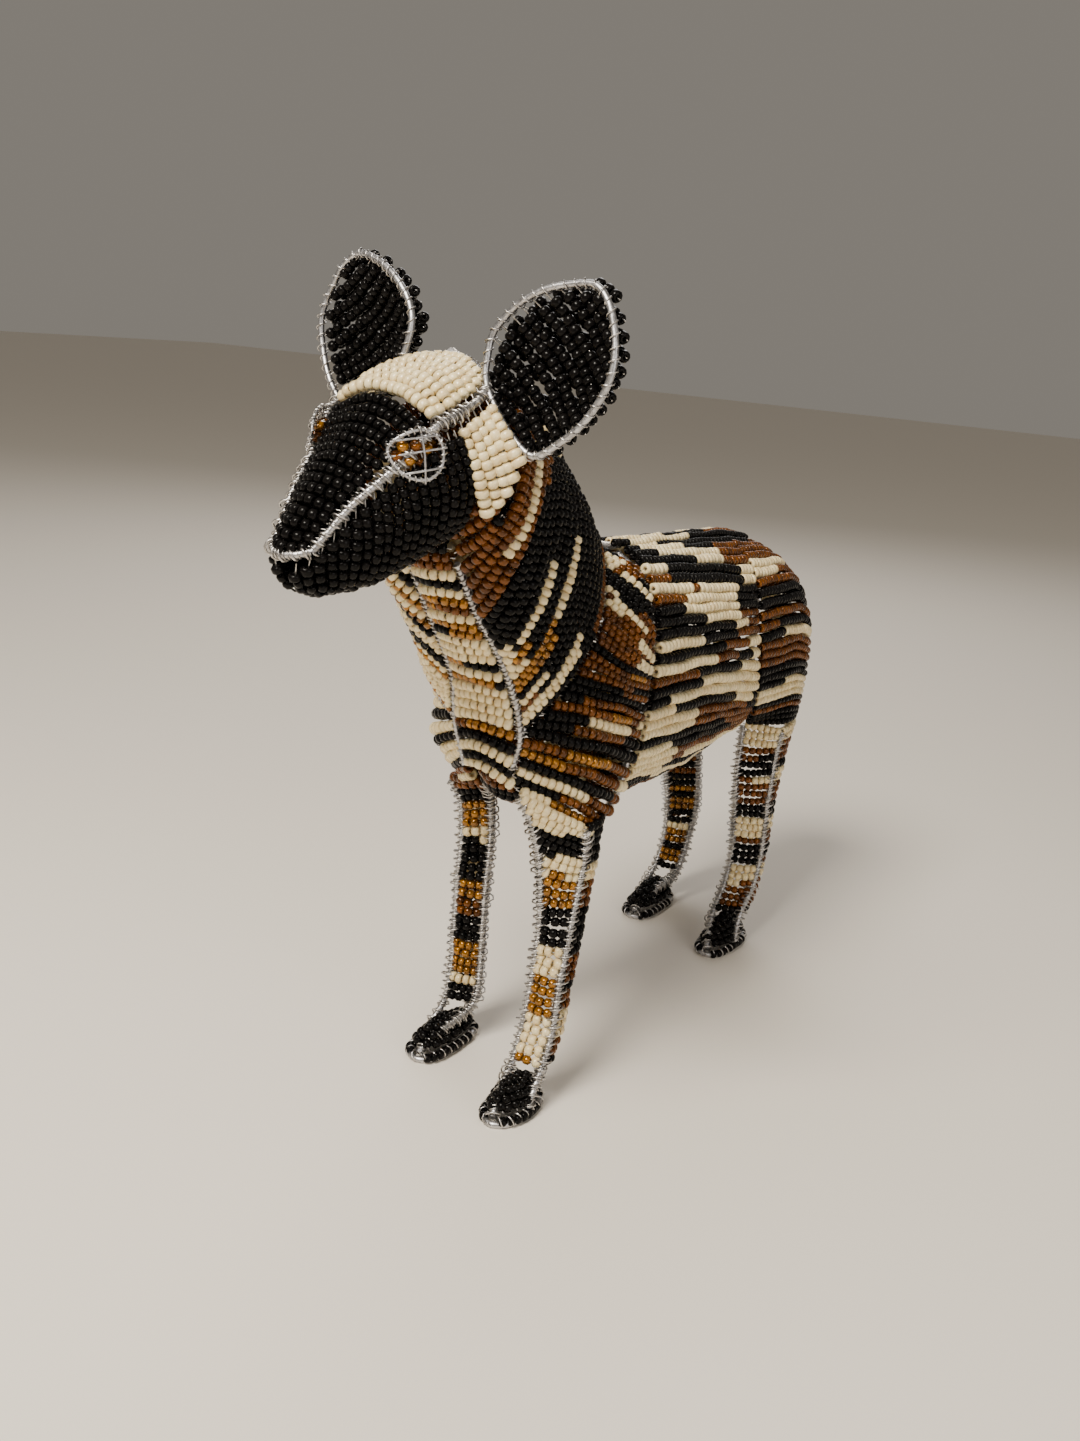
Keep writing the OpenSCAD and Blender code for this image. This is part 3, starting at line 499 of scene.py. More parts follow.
def seed_bead_tree():
    """Puts a round-edged glass ring on every point, turned along its string."""
    t = Tree("strung_seed_beads")
    t.size("Bead Diameter", BEAD_DIAMETER)
    t.size("Bead Length", BEAD_LENGTH)
    t.size("Hole Diameter", BEAD_HOLE)
    t.size("Size Spread", 0.05)
    t.size("Seed", SEED, "NodeSocketInt")
    t.size("Material", None, "NodeSocketMaterial")
    t.begin()
    s = t.start.outputs
    wall = t.math("MULTIPLY", t.math("SUBTRACT", s["Bead Diameter"], s["Hole Diameter"]), 0.25)
    middle = t.math("MULTIPLY", t.math("ADD", s["Bead Diameter"], s["Hole Diameter"]), 0.25)
    half = t.math("MULTIPLY", s["Bead Length"], 0.5)
    section = t.node("GeometryNodeCurvePrimitiveCircle", {"Resolution": 6, "Radius": 1.0})
    stretch = t.node("ShaderNodeCombineXYZ", {"X": t.math("MULTIPLY", wall, HEXAGON),
                                              "Y": half, "Z": 1.0})
    turned = t.node("GeometryNodeTransform", {
        "Geometry": section.outputs["Curve"], "Rotation": (0.0, 0.0, math.radians(30))})
    shaped = t.node("GeometryNodeTransform", {
        "Geometry": turned.outputs[0], "Scale": stretch.outputs[0]})
    ring = t.node("GeometryNodeCurvePrimitiveCircle", {"Resolution": 10, "Radius": middle})
    bead = t.node("GeometryNodeCurveToMesh", {
        "Curve": ring.outputs["Curve"], "Profile Curve": shaped.outputs[0]})
    smooth = t.node("GeometryNodeSetShadeSmooth", {"Geometry": bead.outputs[0]})
    facing = t.node("FunctionNodeAlignRotationToVector", {
        "Vector": t.named("string_direction", "FLOAT_VECTOR")}, axis="Z")
    spread_low = t.math("SUBTRACT", 1.0, s["Size Spread"])
    spread_high = t.math("ADD", 1.0, s["Size Spread"])
    random_size = t.node("FunctionNodeRandomValue", data_type="FLOAT")
    for key, value in (("Min", spread_low), ("Max", spread_high)):
        socket = [i for i in random_size.inputs if i.name == key and i.type == "VALUE"][0]
        t.tree.links.new(value, socket)
    seed_socket = [i for i in random_size.inputs if i.name == "Seed"][0]
    t.tree.links.new(s["Seed"], seed_socket)
    size = [o for o in random_size.outputs if o.type == "VALUE"][0]
    scaled = t.math("MULTIPLY", size, t.named("bead_size", "FLOAT"))
    scale = t.node("ShaderNodeCombineXYZ", {"X": scaled, "Y": scaled,
                                            "Z": t.named("bead_stretch", "FLOAT")})
    placed = t.node("GeometryNodeInstanceOnPoints", {
        "Points": s["Geometry"], "Instance": smooth.outputs[0],
        "Rotation": facing.outputs[0], "Scale": scale.outputs[0]})
    return t.finish(placed.outputs[0])


def drawn_wire_tree():
    """Sweeps a round wire along every line of the mesh."""
    t = Tree("drawn_wire")
    t.size("Wire Diameter", ARMATURE_WIRE)
    t.size("Sides", 10, "NodeSocketInt")
    t.size("Material", None, "NodeSocketMaterial")
    t.begin()
    s = t.start.outputs
    line = t.node("GeometryNodeMeshToCurve", {"Mesh": s["Geometry"]})
    profile = t.node("GeometryNodeCurvePrimitiveCircle", {
        "Resolution": s["Sides"], "Radius": t.math("MULTIPLY", s["Wire Diameter"], 0.5)})
    tube = t.node("GeometryNodeCurveToMesh", {
        "Curve": line.outputs[0], "Profile Curve": profile.outputs["Curve"], "Fill Caps": True})
    smooth = t.node("GeometryNodeSetShadeSmooth", {"Geometry": tube.outputs[0]})
    return t.finish(smooth.outputs[0])


STEPS_PER_TURN = 9.0
NOISE_SWING = 4.0           # noise less its middle, times this, runs from about -1 to 1


def binding_coil_tree():
    """Winds thin binding wire round every line of the mesh."""
    t = Tree("binding_coil")
    t.size("Wrap Pitch", 1.5 * MM)
    t.size("Wrap Radius", 1.3 * MM)
    t.size("Wire Diameter", BINDING_WIRE)
    t.size("Slackness", 0.12 * MM)
    t.size("Sides", 4, "NodeSocketInt")
    t.size("Material", None, "NodeSocketMaterial")
    t.begin()
    s = t.start.outputs
    line = t.node("GeometryNodeMeshToCurve", {"Mesh": s["Geometry"]})
    step = t.math("DIVIDE", s["Wrap Pitch"], STEPS_PER_TURN)
    fine = t.node("GeometryNodeResampleCurve", {"Curve": line.outputs[0], "Length": step},
                  mode="LENGTH")
    run = t.node("GeometryNodeSplineParameter").outputs["Length"]
    angle = t.math("MULTIPLY", t.math("DIVIDE", run, s["Wrap Pitch"]), 2 * math.pi)
    normal = t.node("GeometryNodeInputNormal").outputs[0]
    tangent = t.node("GeometryNodeInputTangent").outputs[0]
    side = t.vector("CROSS_PRODUCT", {0: tangent, 1: normal})
    noise = t.node("ShaderNodeTexNoise", {"Scale": 260.0, "Detail": 1.0})
    loose = t.math("MULTIPLY", t.math("SUBTRACT", noise.outputs[0], 0.5), NOISE_SWING)
    reach = t.math("ADD", s["Wrap Radius"], t.math("MULTIPLY", loose, s["Slackness"]))
    across = t.vector("SCALE", {
        0: normal, "Scale": t.math("MULTIPLY", t.math("COSINE", angle), reach)})
    upward = t.vector("SCALE", {
        0: side, "Scale": t.math("MULTIPLY", t.math("SINE", angle), reach)})
    moved = t.node("GeometryNodeSetPosition", {
        "Geometry": fine.outputs[0], "Offset": t.vector("ADD", {0: across, 1: upward})})
    profile = t.node("GeometryNodeCurvePrimitiveCircle", {
        "Resolution": s["Sides"], "Radius": t.math("MULTIPLY", s["Wire Diameter"], 0.5)})
    tube = t.node("GeometryNodeCurveToMesh", {
        "Curve": moved.outputs[0], "Profile Curve": profile.outputs["Curve"],
        "Fill Caps": True})
    smooth = t.node("GeometryNodeSetShadeSmooth", {"Geometry": tube.outputs[0]})
    return t.finish(smooth.outputs[0])


BEADS_TREE = seed_bead_tree()
WIRE_TREE = drawn_wire_tree()
COIL_TREE = binding_coil_tree()


# ---------------------------------------------------------------- materials
def material(name):
    made = bpy.data.materials.new(name)
    made.use_nodes = True
    nodes = made.node_tree.nodes
    return made, nodes, made.node_tree.links, nodes["Principled BSDF"]


def grain_group():
    """Shared small-scale wear: a colour between two tones, a roughness and a bump."""
    group = bpy.data.node_groups.new("small_wear", "ShaderNodeTree")
    face = group.interface
    for name, kind, value in (("Scale", "NodeSocketFloat", 400.0),
                              ("Rough Low", "NodeSocketFloat", 0.1),
                              ("Rough High", "NodeSocketFloat", 0.3),
                              ("Bump Strength", "NodeSocketFloat", 0.1),
                              ("Tone A", "NodeSocketColor", (0.1, 0.1, 0.1, 1)),
                              ("Tone B", "NodeSocketColor", (0.2, 0.2, 0.2, 1)),
                              ("Cell Scale", "NodeSocketFloat", 320.0)):
        face.new_socket(name, in_out="INPUT", socket_type=kind).default_value = value
    for name, kind in (("Color", "NodeSocketColor"), ("Roughness", "NodeSocketFloat"),
                       ("Normal", "NodeSocketVector")):
        face.new_socket(name, in_out="OUTPUT", socket_type=kind)

    def placed(kind, inputs, **settings):
        made = group.nodes.new(kind)
        for key, value in settings.items():
            setattr(made, key, value)
        for key, value in inputs.items():
            if isinstance(value, bpy.types.NodeSocket):
                group.links.new(value, made.inputs[key])
            else:
                made.inputs[key].default_value = value
        return made

    start = placed("NodeGroupInput", {}).outputs
    place = placed("ShaderNodeTexCoord", {}).outputs["Object"]
    fine = placed("ShaderNodeTexNoise", {
        "Detail": 3.0, "Vector": place, "Scale": start["Scale"]}).outputs[0]
    cells = placed("ShaderNodeTexVoronoi", {"Vector": place, "Scale": start["Cell Scale"]})
    split = placed("ShaderNodeSeparateColor", {0: cells.outputs["Color"]})
    half = placed("ShaderNodeMath", {0: split.outputs[0], 1: 0.55}, operation="MULTIPLY")
    share = placed("ShaderNodeMath", {0: fine, 1: 0.6, 2: half.outputs[0]},
                   operation="MULTIPLY_ADD")
    blend = placed("ShaderNodeMix", {
        "Factor": share.outputs[0], "A": start["Tone A"], "B": start["Tone B"]},
        data_type="RGBA")
    rough = placed("ShaderNodeMapRange", {
        "Value": fine, "To Min": start["Rough Low"], "To Max": start["Rough High"]})
    bump = placed("ShaderNodeBump", {
        "Distance": 0.0002, "Strength": start["Bump Strength"], "Height": fine})
    placed("NodeGroupOutput", {"Color": blend.outputs["Result"],
                               "Roughness": rough.outputs[0], "Normal": bump.outputs[0]})
    return group


WEAR = grain_group()


def worn(name, tone_a, tone_b, rough, scale, bump, cells):
    """A material whose tone, roughness and surface come from the small wear group."""
    made, nodes, links, shader = material(name)
    wear = nodes.new("ShaderNodeGroup")
    wear.node_tree = WEAR
    for key, value in (("Scale", scale), ("Rough Low", rough[0]), ("Rough High", rough[1]),
                       ("Bump Strength", bump), ("Tone A", (*tone_a, 1)),
                       ("Tone B", (*tone_b, 1)), ("Cell Scale", cells)):
        wear.inputs[key].default_value = value
    for wear_output, shader_input in (("Color", "Base Color"), ("Roughness", "Roughness"),
                                      ("Normal", "Normal")):
        links.new(wear.outputs[wear_output], shader.inputs[shader_input])
    return made, shader


def glass_bead(name, tone_a, tone_b, rough, coat, metallic=0.0, subsurface=0.0, shine=0.5):
    """Glass of one colour; neighbouring beads differ a little in tone."""
    made, shader = worn(name, tone_a, tone_b, rough, 500.0, 0.12, 330.0)
    for key, value in (("Specular IOR Level", shine), ("Coat Weight", coat),
                       ("Coat Roughness", 0.06), ("Metallic", metallic)):
        shader.inputs[key].default_value = value
    if subsurface:
        shader.inputs["Subsurface Weight"].default_value = subsurface
        shader.inputs["Subsurface Scale"].default_value = 0.0015
        shader.inputs["Subsurface Radius"].default_value = (1.0, 0.75, 0.5)
    return made


def bright_wire(name, tone_a, tone_b, rough, scale):
    """Zinc-coated steel with a mottled spangle."""
    made, shader = worn(name, tone_a, tone_b, rough, scale, 0.35, 700.0)
    shader.inputs["Metallic"].default_value = 1.0
    return made


GLASS = {
    "k": ("black", "black_beads", glass_bead(
        "black_glass", (0.0010, 0.0009, 0.0010), (0.006, 0.0052, 0.0050), (0.12, 0.26), 0.0,
        shine=0.10)),
    "c": ("cream", "cream_beads", glass_bead(
        "cream_glass", (0.64, 0.48, 0.24), (0.90, 0.77, 0.47), (0.18, 0.34), 0.25,
        subsurface=0.12)),
    "b": ("brown", "brown_beads", glass_bead(
        "brown_glass", (0.007, 0.0019, 0.0002), (0.200, 0.060, 0.0009), (0.10, 0.24), 0.10,
        metallic=0.25, shine=0.3)),
    "a": ("amber", "amber_beads", glass_bead(
        "amber_glass", (0.040, 0.013, 0.0005), (0.46, 0.190, 0.006), (0.10, 0.24), 0.3,
        metallic=0.5)),
}
ARMATURE_FINISH = bright_wire("galvanised_armature", (0.26, 0.25, 0.25), (0.66, 0.66, 0.68),
                              (0.28, 0.50), 900.0)
BINDING_FINISH = bright_wire("galvanised_binding", (0.26, 0.24, 0.22), (0.74, 0.72, 0.70),
                             (0.24, 0.44), 1500.0)


# ---------------------------------------------------------------- making pieces
def line_mesh(name, paths, closed=False):
    """A mesh of plain lines, one chain for each path."""
    points, edges = [], []
    for path in paths:
        first = len(points)
        points.extend(tuple(p) for p in path)
        edges.extend((first + i, first + i + 1) for i in range(len(path) - 1))
        if closed:
            edges.append((first + len(path) - 1, first))
    mesh = bpy.data.meshes.new(name)
    mesh.from_pydata(points, edges, [])
    return mesh


def grown(name, mesh, tree, sizes, finish, stands_for=()):
    """Runs a node tree on a mesh and keeps the plain result as a piece of the figure."""
    helper = bpy.data.objects.new(name + "_helper", mesh)
    bpy.context.scene.collection.objects.link(helper)
    modifier = helper.modifiers.new("grow", "NODES")
    modifier.node_group = tree
    chosen = {**sizes, "Material": finish}
    for item in tree.interface.items_tree:
        if item.item_type == "SOCKET" and item.in_out == "INPUT" and item.name in chosen:
            modifier[item.identifier] = chosen[item.name]
    helper.update_tag()
    bpy.context.view_layer.update()
    graph = bpy.context.evaluated_depsgraph_get()
    result = bpy.data.meshes.new_from_object(helper.evaluated_get(graph))
    helper.modifiers.clear()
    bpy.data.objects.remove(helper)
    result.name = name
    piece = bpy.data.objects.new(name, result)
    bpy.context.scene.collection.objects.link(piece)
    if not result.materials:
        result.materials.append(finish)
    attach(piece, "root")
    if stands_for:
        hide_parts(*stands_for)
    return piece


def wire_piece(name, paths, stands_for=(), diameter=ARMATURE_WIRE, sides=12, closed=False,
               finish=ARMATURE_FINISH):
    return grown(name, line_mesh(name, paths, closed), WIRE_TREE,
                 {"Wire Diameter": diameter, "Sides": sides}, finish,
                 stands_for)


def coil_piece(name, paths, pitch, radius, slack=0.12 * MM, diameter=BINDING_WIRE,
               closed=False):
    return grown(name, line_mesh(name, paths, closed), COIL_TREE,
                 {"Wrap Pitch": pitch, "Wrap Radius": radius, "Wire Diameter": diameter,
                  "Slackness": slack, "Sides": 5}, BINDING_FINISH)


def colour_at(pattern, share):
    """The bead colour at a share along a row whose pattern reads like 'k.3 b.7'."""
    parts = [(part[0], float(part[1:] or 1)) for part in pattern.split()]
    total = sum(length for _, length in parts)
    passed = 0.0
    for letter, length in parts:
        passed += length
        if share * total <= passed:
            return letter
    return parts[-1][0]


SIZE_OF = {"k": 0.98, "c": 1.08, "b": 0.92, "a": 0.94}
BEAD_FIT = (0.86, 1.22)     # larger beads are picked where the rows stand further apart


def string_beads(rows, patterns, store, rng, gaps=(2.9, 2.9), sag=0.25,
                 fitted_to_rows=True):
    """Threads beads on every row. store collects (place, direction, size, stretch) by colour."""
    for i, row in enumerate(rows):
        near = [rows[j] for j in (i - 1, i + 1) if 0 <= j < len(rows)]
        pattern = patterns[min(int((i + 0.5) / len(rows) * len(patterns)), len(patterns) - 1)]
        run = run_along(row)
        start = gaps[0] * MM + rng.uniform(-0.3, 0.3) * MM
        end = run[-1] - gaps[1] * MM + rng.uniform(-0.3, 0.3) * MM
        room = end - start
        if room < BEAD_LENGTH * 0.8:
            continue
        count = max(1, int(round(room / BEAD_PITCH)))
        pitch = room / count
        drift = rng.uniform(0, 6.3)
        for k in range(count):
            at = start + (k + 0.5) * pitch + rng.uniform(-0.06, 0.06) * MM
            place = np.array([np.interp(at, run, row[:, axis]) for axis in range(3)])
            ahead = np.array([np.interp(min(at + 1.2 * MM, run[-1]), run, row[:, axis])
                              for axis in range(3)])
            behind = np.array([np.interp(max(at - 1.2 * MM, 0), run, row[:, axis])
                               for axis in range(3)])
            direction = ahead - behind
            direction /= max(np.linalg.norm(direction), 1e-9)
            wobble = sag * MM * np.array([math.sin(drift + k * 0.7), math.cos(drift + k * 0.5),
                                          math.sin(drift * 2 + k * 0.6)])
            wobble += np.array([rng.uniform(-1, 1) for _ in range(3)]) * 0.10 * MM
            tilt = np.array([rng.uniform(-1, 1) for _ in range(3)]) * 0.09
            letter = colour_at(pattern, (k + 0.5) / count)
            spread = np.mean([np.linalg.norm(r[int((k + 0.5) / count * (len(r) - 1))]
                                             - row[int((k + 0.5) / count * (len(row) - 1))])
                              for r in near]) if near else BEAD_DIAMETER
            fitted = float(np.clip(spread / BEAD_DIAMETER, *BEAD_FIT)) if fitted_to_rows else 1.0
            store.setdefault(letter, []).append(
                (place + wobble, direction + tilt, SIZE_OF[letter] * fitted,
                 pitch / BEAD_PITCH))


def bead_pieces(name, store, stands_for):
    """One piece for each colour of glass in a panel."""
    for letter in "kcba":
        if letter not in store:
            continue
        word, slot, finish = GLASS[letter]
        beads = store[letter]
        mesh = bpy.data.meshes.new(f"{name}_{word}")
        mesh.from_pydata([tuple(b[0]) for b in beads], [], [])
        facing = mesh.attributes.new("string_direction", "FLOAT_VECTOR", "POINT")
        facing.data.foreach_set("vector", [c for b in beads for c in b[1]])
        size = mesh.attributes.new("bead_size", "FLOAT", "POINT")
        size.data.foreach_set("value", [b[2] for b in beads])
        stretch = mesh.attributes.new("bead_stretch", "FLOAT", "POINT")
        stretch.data.foreach_set("value", [b[3] for b in beads])
        grown(f"{name}_{word}_beads", mesh, BEADS_TREE, {}, finish, stands_for)


def panel(name, rows, patterns, stands_for, seed, gaps=(2.9, 2.9), both=False, head=False,
          sag=0.25, far_patterns=None, extra_rows=None, extra_patterns=None,
          fitted_to_rows=True):
    """A strung panel: its beads, and the binding strands that carry them."""
    rng = random.Random(SEED * 1000 + seed)
    store, strands = {}, []
    sides = [(rows, patterns)]
    if both:
        sides.append(([other_side(r) for r in rows], far_patterns or patterns))
    if extra_rows:
        sides.append((extra_rows, extra_patterns))
    for side_rows, side_patterns in sides:
        placed = [posed(r) for r in side_rows] if head else side_rows
        string_beads(placed, side_patterns, store, rng, gaps, sag, fitted_to_rows)
        strands.extend(r[::2] for r in placed if length_of(r) > 4 * MM)
    bead_pieces(name, store, stands_for)
    wire_piece(name + "_strands", strands, (), BINDING_WIRE, 4, finish=BINDING_FINISH)


def dense(points, closed=False, samples=90):
    if closed:
        return round_loop(points, np.arange(samples) / samples)
    return along(points, np.linspace(0, 1, samples))

# ---------------------------------------------------------------- armature
BODY_WIRES = {
    "spine_wire": [spine],
    "chest_seam_wires": [chest_seam, other_side(chest_seam)],
    "neck_base_hoop": [neck_base, neck_base_far],
    "shoulder_hoop": [shoulder_wire, other_side(shoulder_wire)],
    "hip_hoop": [hip, other_side(hip)],
}
SUNK = {"neck_base_hoop": 1.6, "shoulder_hoop": 2.0, "hip_hoop": 2.0}


def sunk(path, depth):
    """A wire that lies under the bead rows, nearer the middle of the body."""
    out = np.array(path)
    share = np.clip(np.abs(out[:, 1]) / (8 * MM), 0, 1)
    out[:, 1] -= np.sign(out[:, 1]) * depth * MM * share
    out[:, 2] -= np.where(np.abs(out[:, 1]) < 12 * MM, depth * 0.8 * MM, 0)
    return out


for node, lines in BODY_WIRES.items():
    paths = [sunk(dense(p), SUNK.get(node, 0.0)) for p in lines]
    wire_piece(node + "_round", paths, (node,),
               ARMATURE_WIRE * (0.75 if node == "chest_seam_wires" else 1.0))
    if node == "chest_seam_wires":
        coil_piece(node + "_binding", paths, 1.9 * MM, 1.15 * MM, 0.22 * MM, 0.6 * MM)
    else:
        coil_piece(node + "_binding", paths, 1.25 * MM, 1.28 * MM, 0.12 * MM)

HEAD_WIRES = {
    "face_seam_wires": ([face_seam, other_side(face_seam)], RIM_WIRE),
    "nose_loop": ([nose_wire], RIM_WIRE),
    "crown_back_wire": ([crown_back], 1.5 * MM),
}
for node, (lines, diameter) in HEAD_WIRES.items():
    paths = [posed(dense(p)) for p in lines]
    wire_piece(node + "_round", paths, (node,), diameter)
seam_paths = [posed(dense(p)) for p in (face_seam, other_side(face_seam), nose_wire)]
coil_piece("face_seam_binding", seam_paths, 1.2 * MM, 1.2 * MM, 0.15 * MM)
coil_piece("face_seam_stitches", seam_paths, 2.9 * MM, 1.75 * MM, 0.95 * MM, 0.66 * MM)
coil_piece("crown_back_binding", [posed(dense(crown_back))], 1.6 * MM, 1.1 * MM)

rims = [posed(dense(p, True, 120)) for p in (ear_rim, other_side(ear_rim))]
wire_piece("ear_rims_round", rims, ("ear_rims",), RIM_WIRE, closed=True)
coil_piece("ear_rim_binding", rims, 3.0 * MM, 1.3 * MM, 0.3 * MM, closed=True)
rings = [posed(dense(p, True, 48)) for p in (eye_ring, other_side(eye_ring))]
wire_piece("eye_rings_round", rings, ("eye_rings",), 0.9 * MM, 10, closed=True)
coil_piece("eye_ring_binding", rings, 1.7 * MM, 0.75 * MM, 0.35 * MM, closed=True)
EYE_CROSSINGS = [(3, 17), (46, 22), (41, 28), (11, 35)]
crossing = []
for ring, sign in zip(rings, (1, -1)):
    lift = turn @ np.array([0.35, 0.9 * sign, 0.25]) * 1.1 * MM
    for a, b in EYE_CROSSINGS:
        ends = np.array([ring[a], (ring[a] + ring[b]) / 2 + lift * 1.2, ring[b]])
        middle = ends[1]
        crossing.append(dense(np.array([middle + (ends[0] - middle) * 1.15 + lift * 0.3, middle,
                                        middle + (ends[2] - middle) * 1.15 + lift * 0.3]),
                              samples=7))
wire_piece("eye_crossing_wires", crossing, (), 0.62 * MM, 6)

def leg_wire_paths(leg):
    toe, heel, y = (leg["toe"] * FIT[0], leg["heel"] * FIT[0], leg["middle"] * FIT[1])
    side = 1 if y > 0 else -1
    wr = ARMATURE_WIRE / 2 / MM
    z = 2.75 * wr
    inner, outer, rear = (p / MM for p in (leg["inner"], leg["outer"], leg["rear"]))
    a, b, c = inner[-1], outer[-1], rear[-1]
    inner = np.vstack([inner, [a[0] + (toe - a[0]) * 0.55, (a[1] + y) / 2, a[2] * 0.62],
                       [toe - 1, y, z]])
    outer = np.vstack([outer, [(b[0] + toe + heel) / 3 + 1, y + 6.1 * side, z + 3],
                       [(toe + heel) / 2, y + 6.2 * side, z]])
    rear = np.vstack([rear, [(c[0] + heel) / 2, (c[1] + y) / 2, z + 4], [heel, y, z]])
    return [dense(p * MM, samples=100) for p in (inner, outer, rear)]


def sole_loop(leg):
    toe, heel, y = (leg["toe"] * FIT[0], leg["heel"] * FIT[0], leg["middle"] * FIT[1])
    w, z = 6.2, ARMATURE_WIRE / 2 / MM
    return np.array([[toe, y, z], [toe - 4, y + w * 0.8, z], [(toe + heel) / 2, y + w, z],
                     [heel + 4, y + w * 0.8, z], [heel, y, z], [heel + 4, y - w * 0.8, z],
                     [(toe + heel) / 2, y - w, z], [toe - 4, y - w * 0.8, z]]) * MM


for key, leg in LEGS.items():
    paths = leg_wire_paths(leg)
    wire_piece(key + "_leg_wires_round", paths, (key + "_leg_wires",))
    coil_piece(key + "_leg_binding", paths, 1.6 * MM, 1.4 * MM, 0.2 * MM, 0.6 * MM)
    coil_piece(key + "_leg_row_loops", paths, 3.0 * MM, 2.3 * MM, 0.9 * MM, 0.62 * MM)
soles = [dense(sole_loop(leg), True, 72) for leg in LEGS.values()]
wire_piece("foot_loops_round", soles, ("foot_loops",), closed=True)
coil_piece("foot_loop_binding", [s + np.array([0, 0, 1.15]) * MM for s in soles], 3.4 * MM,
           1.75 * MM, 0.1 * MM, 0.5 * MM, closed=True)

# ---------------------------------------------------------------- head panels
panel("muzzle_top", crossing_rows([bridge_side, bridge_mid, other_side(bridge_side)], 15, 1, 1),
      ["k"], ("muzzle_top_beads",), 1, (2.4, 2.4), head=True)
panel("lower_face", crossing_rows([cheek_top, cheek_side, cheek_low, chin_mid], 18, 1, 1),
      ["k"], ("lower_face_beads",), 2, (2.2, 1.0), both=True, head=True)
panel("crown", following_rows([crown_front, crown_mid, crown_back], 8, 0.6, 0.6),
      ["c"], ("crown_beads",), 3, (2.2, 2.2), head=True)
panel("temple", crossing_rows([temple_top, temple_mid, temple_low], 5),
      ["c"], ("temple_beads",), 4, (2.0, 0.0), both=True, head=True)


# ---------------------------------------------------------------- ears
def ear_rows(angle, spacing, back, swell):
    """Slanting rows across the leaf of one ear, from rim to rim, hollowed towards the back."""
    rim = dense(ear_rim, True, 240)
    middle = rim.mean(axis=0)
    rim = middle + (rim - middle) * swell
    direction = np.array([math.cos(angle), math.sin(angle)])
    across = np.array([-direction[1], direction[0]])
    flat = rim[:, 1:] - middle[1:]
    offsets = flat @ across
    low, high = offsets.min() + 1.6 * MM, offsets.max() - 1.6 * MM
    rows = []
    for offset in np.linspace(low, high, int((high - low) / spacing) + 1):
        cuts = []
        for i in range(len(rim)):
            a, b = offsets[i] - offset, offsets[(i + 1) % len(rim)] - offset
            if a * b < 0:
                share = a / (a - b)
                cuts.append(rim[i] + (rim[(i + 1) % len(rim)] - rim[i]) * share)
        if len(cuts) < 2:
            continue
        cuts.sort(key=lambda p: (p[1:] - middle[1:]) @ direction)
        first, last = cuts[0], cuts[-1]
        span = np.linalg.norm(last - first)
        s = np.linspace(0, 1, 25)[:, None]
        row = first + (last - first) * s
        hollow = 4.6 * MM * (span / (34 * MM)) ** 2 * 4 * s[:, 0] * (1 - s[:, 0])
        row[:, 0] -= hollow + back
        rows.append(row)
    return rows


panel("ear_front", ear_rows(math.radians(-42), 3.6 * MM, 0.0, 1.0), ["k"],
      ("ear_front_beads",), 5, (3.4, 2.0), both=True, head=True, sag=0.5,
      fitted_to_rows=False)
panel("ear_back", ear_rows(math.radians(-20), 3.4 * MM, 4.0 * MM, 1.04), ["k"],
      ("ear_back_beads",), 6, (1.0, 1.0), both=True, head=True, sag=0.5,
      fitted_to_rows=False)

# ---------------------------------------------------------------- eyes
eye_store = {}
rng = random.Random(SEED)
eye_middle = route("159.3 17.4 216.3")[0]
eye_spots = [((-3.2, 1.2, 1.6), "a"), ((0.0, 0.4, 2.2), "b"), ((3.0, -1.2, 1.8), "a"),
             ((-1.8, 1.0, -1.6), "b"), ((1.4, 0.0, -1.4), "a"), ((4.2, -1.8, -0.8), "b")]
for sign in (1, -1):
    for (dx, dy, dz), letter in eye_spots:
        place = (eye_middle + np.array([dx, dy - 0.6, dz]) * MM) * np.array([1, sign, 1])
        eye_store.setdefault(letter, []).append(
            (posed(place[None])[0], turn @ np.array([0.5, 0.1 * sign, 1.0]), 1.0, 0.9))
bead_pieces("eye", eye_store, ("eye_beads",))

# ---------------------------------------------------------------- body panels
neck_rows = crossing_rows([nape, neck_high, neck_upper, neck_side, neck_low, seam_neck], 19)
under_jaw = [row[22:] for row in rows_ahead(neck_rows, 4)]
panel("neck", under_jaw + neck_rows, UNDER_JAW + NECK, ("neck_beads",), 7, (1.2, 1.5),
      extra_rows=crossing_rows([nape, other_side(neck_high), neck_upper_far, neck_side_far,
                                neck_low_far, other_side(seam_neck)], 22),
      extra_patterns=NECK_FAR)
throat_rows = crossing_rows(THROAT_SECTIONS, len(THROAT))
panel("throat", rows_ahead(throat_rows, 3) + throat_rows, ["b", "k", "b"] + THROAT,
      ("throat_beads",), 8, (1.6, 1.6))
panel("shoulder", crossing_rows([shoulder_a, shoulder_m, shoulder_b], len(SHOULDER),
                                slides=SHOULDER_SLIDES), SHOULDER,
      ("shoulder_beads",), 9, (1.8, 0.8),
      extra_rows=crossing_rows([shoulder_a_far, shoulder_m_far, shoulder_b_far], len(SHOULDER),
                               slides=SHOULDER_SLIDES), extra_patterns=SHOULDER_FAR)
panel("flank", crossing_rows([flank_a, flank_m, flank_b], len(FLANK), slides=FLANK_SLIDES),
      FLANK, ("flank_beads",), 10, (0.8, 0.1), both=True, far_patterns=FLANK_FAR)
back_line = along(spine, np.linspace(0.44, 0.74, 60)) + np.array([0, 0, 1.6]) * MM
panel("ridge", [back_line + np.array([0, 2.3, -0.5]) * MM, back_line,
                back_line + np.array([0, -2.3, -0.5]) * MM],
      ["k.1 c.4 k.5", "c.35 k.3 b.35", "k.5 c.3 k.2"], ("flank_beads",), 14, (0.5, 0.5))
